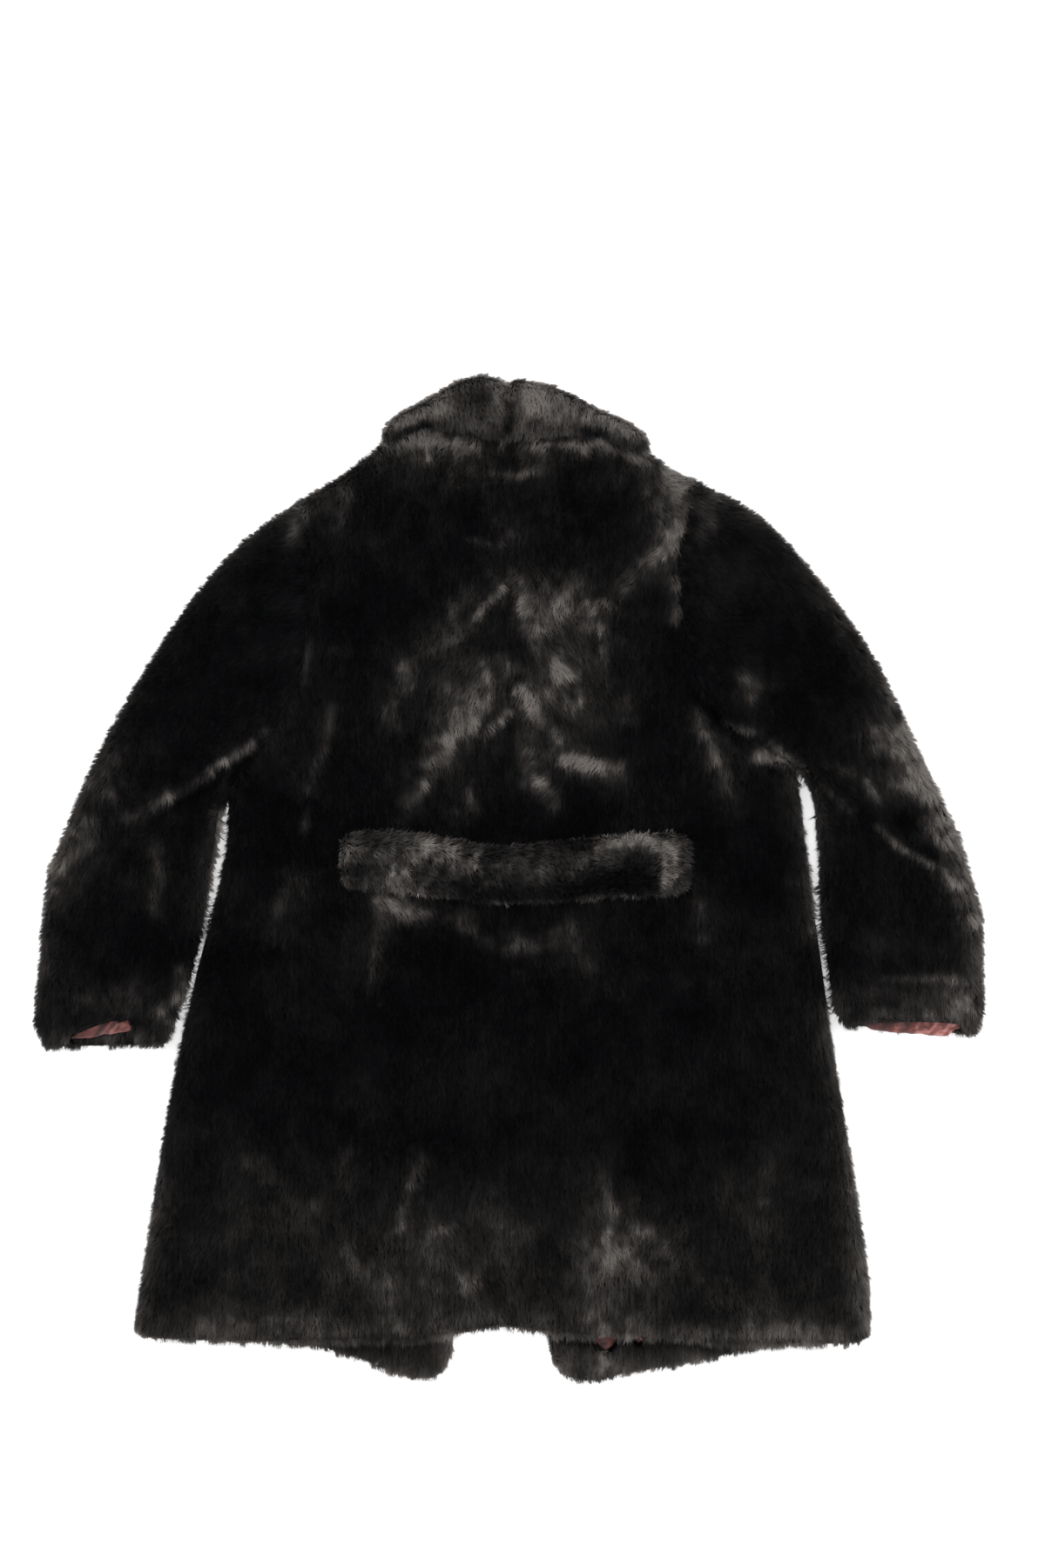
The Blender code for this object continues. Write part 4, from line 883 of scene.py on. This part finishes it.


# ---------------------------------------------------------------- materials
# Colours by tone; painted shade from root to tip, darkest deep in the pile; across the ground under the pile;
# and by height on the satin, as painted shade in its folds and a painted highlight on their tops.
TONES = (
    (0.0, (0.0013, 0.0014, 0.0018)), (0.2, (0.0044, 0.0047, 0.0057)), (0.4, (0.0156, 0.0148, 0.0144)),
    (0.6, (0.0430, 0.0394, 0.0370)), (0.8, (0.1090, 0.0995, 0.0925)), (1.0, (0.2350, 0.2170, 0.2030)),
)
ROOT_TO_TIP_SHADE = ((0.0, (0.62, 0.62, 0.62)), (0.5, (0.90, 0.90, 0.90)), (1.0, (1.18, 1.16, 1.14)))
GROUND = ((0.3, (0.0040, 0.0042, 0.0050)), (0.7, (0.0090, 0.0091, 0.0100)))
SATIN = (
    (0.0, (0.045, 0.012, 0.011)), (0.35, (0.150, 0.042, 0.036)), (0.65, (0.300, 0.105, 0.090)),
    (0.85, (0.480, 0.230, 0.205)), (1.0, (0.640, 0.400, 0.370)),
)
# Lighter pile is the smoother; in the ground and the satin the roughness follows their unevenness.
FUR_SPAN, FUR_ROUGHNESS, FUR_SHINE = (0.0, 1.0), (0.50, 0.36), 0.08
NOISE_SPAN, GROUND_ROUGHNESS, SATIN_ROUGHNESS = (0.3, 0.7), (0.96, 0.84), (0.40, 0.28)
GROUND_SCALE, GROUND_DETAIL, GROUND_SHINE, GROUND_BUMP = 420.0, 4.0, 0.05, (0.8, 0.0015)
SATIN_SCALE, SATIN_DETAIL, SATIN_SHEEN, SATIN_BUMP = 160.0, 3.0, 0.25, (0.15, 0.0003)
WEAVE_SCALE, SATIN_UNEVEN, SATIN_LEVEL = 900.0, 0.35, 0.17


def new_material(name):
    material = bpy.data.materials.new(name)
    material.use_nodes = True
    nodes, links = material.node_tree.nodes, material.node_tree.links
    return material, nodes, links, nodes["Principled BSDF"]


def ramp_node(nodes, stops):
    node = nodes.new("ShaderNodeValToRGB")
    ramp = node.color_ramp
    while len(ramp.elements) < len(stops):
        ramp.elements.new(0.5)
    for element, (at, colour) in zip(ramp.elements, stops):
        element.position = at
        element.color = (*colour, 1.0)
    return node


def worked_out(nodes, links, operation, *values):
    """The outcome of a math node on these values, each a socket or a number."""
    node = nodes.new("ShaderNodeMath")
    node.operation = operation
    for socket, value in zip(node.inputs, values):
        if isinstance(value, float):
            socket.default_value = value
        else:
            links.new(value, socket)
    return node.outputs[0]


def map_parts(nodes, links, name):
    """The two numbers that a map holds, as sockets X and Y."""
    place = nodes.new("ShaderNodeUVMap")
    place.uv_map = name
    parts = nodes.new("ShaderNodeSeparateXYZ")
    links.new(place.outputs["UV"], parts.inputs["Vector"])
    return parts.outputs


def uneven_node(nodes, links, kind, scale, detail=None):
    """A noise or wave in the object's own space."""
    node = nodes.new(kind)
    node.inputs["Scale"].default_value = scale
    if detail is not None:
        node.inputs["Detail"].default_value = detail
    links.new(nodes.new("ShaderNodeTexCoord").outputs["Object"], node.inputs["Vector"])
    return node.outputs["Fac"]


def bumped(nodes, links, shader, height, bump):
    """Bumps the surface by a height, with this strength and distance."""
    node = nodes.new("ShaderNodeBump")
    node.inputs["Strength"].default_value, node.inputs["Distance"].default_value = bump
    links.new(height, node.inputs["Height"])
    links.new(node.outputs["Normal"], shader.inputs["Normal"])


def follow(nodes, links, shader, value, span, roughness):
    """Lets the roughness go between two levels as a value goes over its span."""
    between = nodes.new("ShaderNodeMapRange")
    between.inputs["From Min"].default_value, between.inputs["From Max"].default_value = span
    between.inputs["To Min"].default_value, between.inputs["To Max"].default_value = roughness
    links.new(value, between.inputs["Value"])
    links.new(between.outputs["Result"], shader.inputs["Roughness"])


def make_fur():
    material, nodes, links, shader = new_material("black_fur_strands")
    parts = map_parts(nodes, links, "OFBake")
    # The tone's colour, darkened towards the root by painted shade.
    tones, root_shade = ramp_node(nodes, TONES), ramp_node(nodes, ROOT_TO_TIP_SHADE)
    links.new(parts["X"], tones.inputs["Fac"])
    links.new(parts["Y"], root_shade.inputs["Fac"])
    mix = nodes.new("ShaderNodeMix")
    mix.data_type, mix.blend_type = "RGBA", "MULTIPLY"
    mix.inputs["Factor"].default_value = 1.0
    links.new(tones.outputs["Color"], mix.inputs["A"])
    links.new(root_shade.outputs["Color"], mix.inputs["B"])
    links.new(mix.outputs["Result"], shader.inputs["Base Color"])
    follow(nodes, links, shader, parts["X"], FUR_SPAN, FUR_ROUGHNESS)
    shader.inputs["Specular IOR Level"].default_value = FUR_SHINE
    return material


def make_ground():
    material, nodes, links, shader = new_material("black_fur_ground")
    uneven = uneven_node(nodes, links, "ShaderNodeTexNoise", GROUND_SCALE, GROUND_DETAIL)
    ramp = ramp_node(nodes, GROUND)
    links.new(uneven, ramp.inputs["Fac"])
    links.new(ramp.outputs["Color"], shader.inputs["Base Color"])
    bumped(nodes, links, shader, uneven, GROUND_BUMP)
    follow(nodes, links, shader, uneven, NOISE_SPAN, GROUND_ROUGHNESS)
    shader.inputs["Specular IOR Level"].default_value = GROUND_SHINE
    return material


def make_satin():
    """Satin: dark in its folds as painted shade, brick red on their sides and pale along their tops as a
    painted highlight.
    """
    material, nodes, links, shader = new_material("brick_red_satin")
    parts = map_parts(nodes, links, "height")
    uneven = uneven_node(nodes, links, "ShaderNodeTexNoise", SATIN_SCALE, SATIN_DETAIL)
    height = worked_out(nodes, links, "MULTIPLY_ADD", uneven, SATIN_UNEVEN, parts["X"])
    height = worked_out(nodes, links, "SUBTRACT", height, SATIN_LEVEL)
    ramp = ramp_node(nodes, SATIN)
    links.new(height, ramp.inputs["Fac"])
    links.new(ramp.outputs["Color"], shader.inputs["Base Color"])
    bumped(nodes, links, shader, uneven_node(nodes, links, "ShaderNodeTexWave", WEAVE_SCALE), SATIN_BUMP)
    follow(nodes, links, shader, uneven, NOISE_SPAN, SATIN_ROUGHNESS)
    shader.inputs["Sheen Weight"].default_value = SATIN_SHEEN
    return material


fur, ground, satin = make_fur(), make_ground(), make_satin()


# ---------------------------------------------------------------- linings
# Each lining with how far round it no pile grows, how much its ends taper, how far it sags and how light it
# is, which is painted shade where it is below 1.
Lining = namedtuple("Lining", "bare_edge taper sag light")
LININGS = {
    "cuff_lining_left": Lining(0.0, 2.0, 0.0, 0.72), "cuff_lining_right": Lining(6.0, 5.0, 3.6, 1.0),
    "lining_front_right": Lining(0.0, 0.0, 0.0, 1.0),
}
# A strand is left out where this share of the way along it lies over a lining that is seen.
LINING_OVERLAP, LINING_RAGGED, DULL_OVERLAP = 0.7, 0.16, 0.5
# The satin's net and small folds, which are wide and fine ones together.
CRINKLE_EDGE, CRINKLE_ROUNDS, CRINKLE_HEIGHT, CRINKLE_MAP = 2.2, 5, 2.2, 100.0
CRINKLE_SLANT, CRINKLE_SHARP, WIDE_SHARE, FINE_SHARE = math.radians(-35), 1.7, 0.68, 0.32
WIDE_STRETCH, FINE_STRETCH = 3, 2
TOP_FROM, UNDER_DROP = 0.01, 0.1
# Its lower edge, which is uneven and tapers off, and its left end, darker as painted shade.
CRINKLE_END, CRINKLE_TAPER, RISE_FADE = 1.0, 16.0, 8.0
RAGGED_EDGE, EDGE_WAVER = 0.9, 0.9
DULL, DULL_TO = 0.62, 0.7


def crinkles(x, y):
    """The height of the satin's small folds, 0 to 1: slanting, uneven, and sharp along their tops."""
    slant = x * math.cos(CRINKLE_SLANT) + y * math.sin(CRINKLE_SLANT)
    along = y * math.cos(CRINKLE_SLANT) - x * math.sin(CRINKLE_SLANT)
    wide = 1 - np.abs(cloud(slant, along / WIDE_STRETCH, WIDE_FOLD)) * CRINKLE_SHARP
    fine = 1 - np.abs(cloud(slant, along / FINE_STRETCH, FINE_FOLD)) * CRINKLE_SHARP
    return np.clip(WIDE_SHARE * wide + FINE_SHARE * fine, 0, 1)


def shaded_end(x, first, last):
    """1 at a strip's left end, easing to 0 part of the way along, where the light reaches it."""
    return 1 - ease((x - first) / (DULL_TO * (last - first)))


def ragged_rise(node, places):
    """How far up each point moves, so that the strip's lower edge is uneven and tapers off at its ends."""
    x, y, row = places[:, 0], places[:, 1], LININGS[node]
    first, last = x.min(), x.max()
    ends = [y[x < first + CRINKLE_END].min(), y[x > last - CRINKLE_END].min()]
    above = y - np.interp(x, [first, last], ends)
    end = 1 - ease(np.minimum(x - first, last - x) / CRINKLE_TAPER)
    uneven = RAGGED_EDGE * (EDGE_WAVER + EDGE_WAVER * cloud(x, 0 * y, SATIN_EDGE))
    drawn = (row.taper + row.sag) * end - row.sag + uneven
    return drawn * np.exp(-np.clip(above, 0, None) / RISE_FADE)


def make_lining(node):
    """A strip of satin with small soft crinkles, which its map gives too, as how high each point is, for the
    painted shade and highlight of the folds, dimmed by painted shade at the left end and in a shaded lining.
    """
    work = refined(node, CRINKLE_EDGE, CRINKLE_ROUNDS)
    places = np.array([v.co for v in work.verts]) / MM
    x = places[:, 0]
    high = crinkles(x, places[:, 1])
    # Painted highlight on the folds' tops and painted shade in them, dimmed at the left end and in a shaded
    # lining.
    satin_light_and_shade = high * LININGS[node].light * (1 - DULL * shaded_end(x, x.min(), x.max()))
    top = places[:, 2] > places[:, 2].min() + TOP_FROM
    for v, height, above, shift in zip(work.verts, high, top, ragged_rise(node, places)):
        v.co.z += (height * CRINKLE_HEIGHT - (0.0 if above else UNDER_DROP)) * MM
        v.co.y += shift * MM
    layer = work.loops.layers.uv.new("height")
    for face in work.faces:
        for loop in face.loops:
            loop[layer].uv = (satin_light_and_shade[loop.vert.index], x[loop.vert.index] / CRINKLE_MAP)
    piece = finished(work, "satin_" + node, satin)
    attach(piece, "root")
    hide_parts(node)
    return piece


# ---------------------------------------------------------------- building the coat
# A cloth's flat size in metres and square metres, without an area where it is a rectangle; nothing here uses
# it.
Cut = namedtuple("Cut", "width length area", defaults=(None,))
around = Surroundings()
outline = Outline()
for number, row in enumerate(SHELLS):
    shell, shows = make_shell(row)
    rng = np.random.default_rng(STRAND_SEED + number)
    roots, normals, share = sampled(shell, shows, row, rng)
    points, tone, laid = grow(row, roots, normals, share, rng)
    kept = ~hides_lining(points)
    for band in BACK_BANDS if row.node == "back" else WHOLE:
        picked = (roots[:, 1] >= band.low) & (roots[:, 1] < band.high) & kept
        name = "fur_" + row.node + ("_" + band.label if band.label else "")
        piece = strand_mesh(name, points[picked], tone[picked], laid[picked])
    if row.node in TUBES:
        open_armhole(shell, row.node)
for node in LININGS:
    make_lining(node)


# ---------------------------------------------------------------- floor, light and camera, in metres
WHITE = (1.0, 1.0, 1.0, 1.0)
FLOOR_HALF, FLOOR_COLOUR, FLOOR_ROUGHNESS, FLOOR_SHINE = 9.0, (0.80, 0.80, 0.80, 1.0), 0.9, 0.1
# The floor's glow where it is seen, and the world's strength as a light and as it is seen.
FLOOR_GLOW, WORLD_LIGHT, WORLD_SEEN = 0.62, 0.45, 1.0
Lamp = namedtuple("Lamp", "name x y z size watts")
LAMPS = (
    Lamp("softbox_left", -2.2, 0.6, 1.7, 1.4, 46),
    Lamp("softbox_right", 2.2, 0.6, 1.7, 1.4, 46),
    Lamp("softbox_head", 0.0, 2.4, 1.9, 1.4, 30),
    Lamp("softbox_foot", 0.0, -2.6, 1.5, 1.4, 38),
)
VIEW_HEIGHT, VIEW_X, VIEW_Y, CAMERA_Z = 1.575, 0.0135, 0.0937, 5.0
SENSOR_MM, FURTHEST = 36.0, 60.0


def make_floor():
    """A pale floor, which glows where the camera or a reflection sees it."""
    material, nodes, links, shader = new_material("pale_floor")
    shader.inputs["Base Color"].default_value = FLOOR_COLOUR
    shader.inputs["Roughness"].default_value = FLOOR_ROUGHNESS
    shader.inputs["Specular IOR Level"].default_value = FLOOR_SHINE
    glow = nodes.new("ShaderNodeEmission")
    glow.inputs["Color"].default_value = WHITE
    ray = nodes.new("ShaderNodeLightPath").outputs
    seen = worked_out(nodes, links, "MAXIMUM", ray["Is Camera Ray"], ray["Is Glossy Ray"])
    links.new(worked_out(nodes, links, "MULTIPLY", seen, FLOOR_GLOW), glow.inputs["Strength"])
    add = nodes.new("ShaderNodeAddShader")
    links.new(shader.outputs["BSDF"], add.inputs[0])
    links.new(glow.outputs["Emission"], add.inputs[1])
    links.new(add.outputs[0], nodes["Material Output"].inputs["Surface"])
    mesh = bpy.data.meshes.new("floor")
    corners = [(x * FLOOR_HALF, y * FLOOR_HALF, 0) for x, y in ((-1, -1), (1, -1), (1, 1), (-1, 1))]
    mesh.from_pydata(corners, [], [(0, 1, 2, 3)])
    mesh.materials.append(material)
    link("floor", mesh)


def make_world():
    world = bpy.data.worlds.new("studio")
    bpy.context.scene.world = world
    world.use_nodes = True
    nodes, links = world.node_tree.nodes, world.node_tree.links
    back = nodes["Background"]
    back.inputs["Color"].default_value = WHITE
    path = nodes.new("ShaderNodeLightPath")
    seen = nodes.new("ShaderNodeMix")
    seen.data_type = "FLOAT"
    seen.inputs["A"].default_value, seen.inputs["B"].default_value = WORLD_LIGHT, WORLD_SEEN
    links.new(path.outputs["Is Camera Ray"], seen.inputs["Factor"])
    links.new(seen.outputs["Result"], back.inputs["Strength"])


def make_lamps():
    for lamp in LAMPS:
        light = bpy.data.lights.new(lamp.name, "AREA")
        light.shape, light.size, light.energy = "SQUARE", lamp.size, lamp.watts
        item = link(lamp.name, light)
        item.location = (lamp.x, lamp.y, lamp.z)
        item.rotation_euler = (-Vector(item.location)).to_track_quat("-Z", "Y").to_euler()


def make_camera():
    data = bpy.data.cameras.new("camera")
    data.lens = SENSOR_MM * CAMERA_Z / VIEW_HEIGHT
    data.clip_end = FURTHEST
    camera = link("camera", data)
    camera.location = (VIEW_X, VIEW_Y, CAMERA_Z)
    bpy.context.scene.camera = camera


make_floor()
make_world()
make_lamps()
make_camera()
bpy.context.scene.view_settings.view_transform = "Standard"
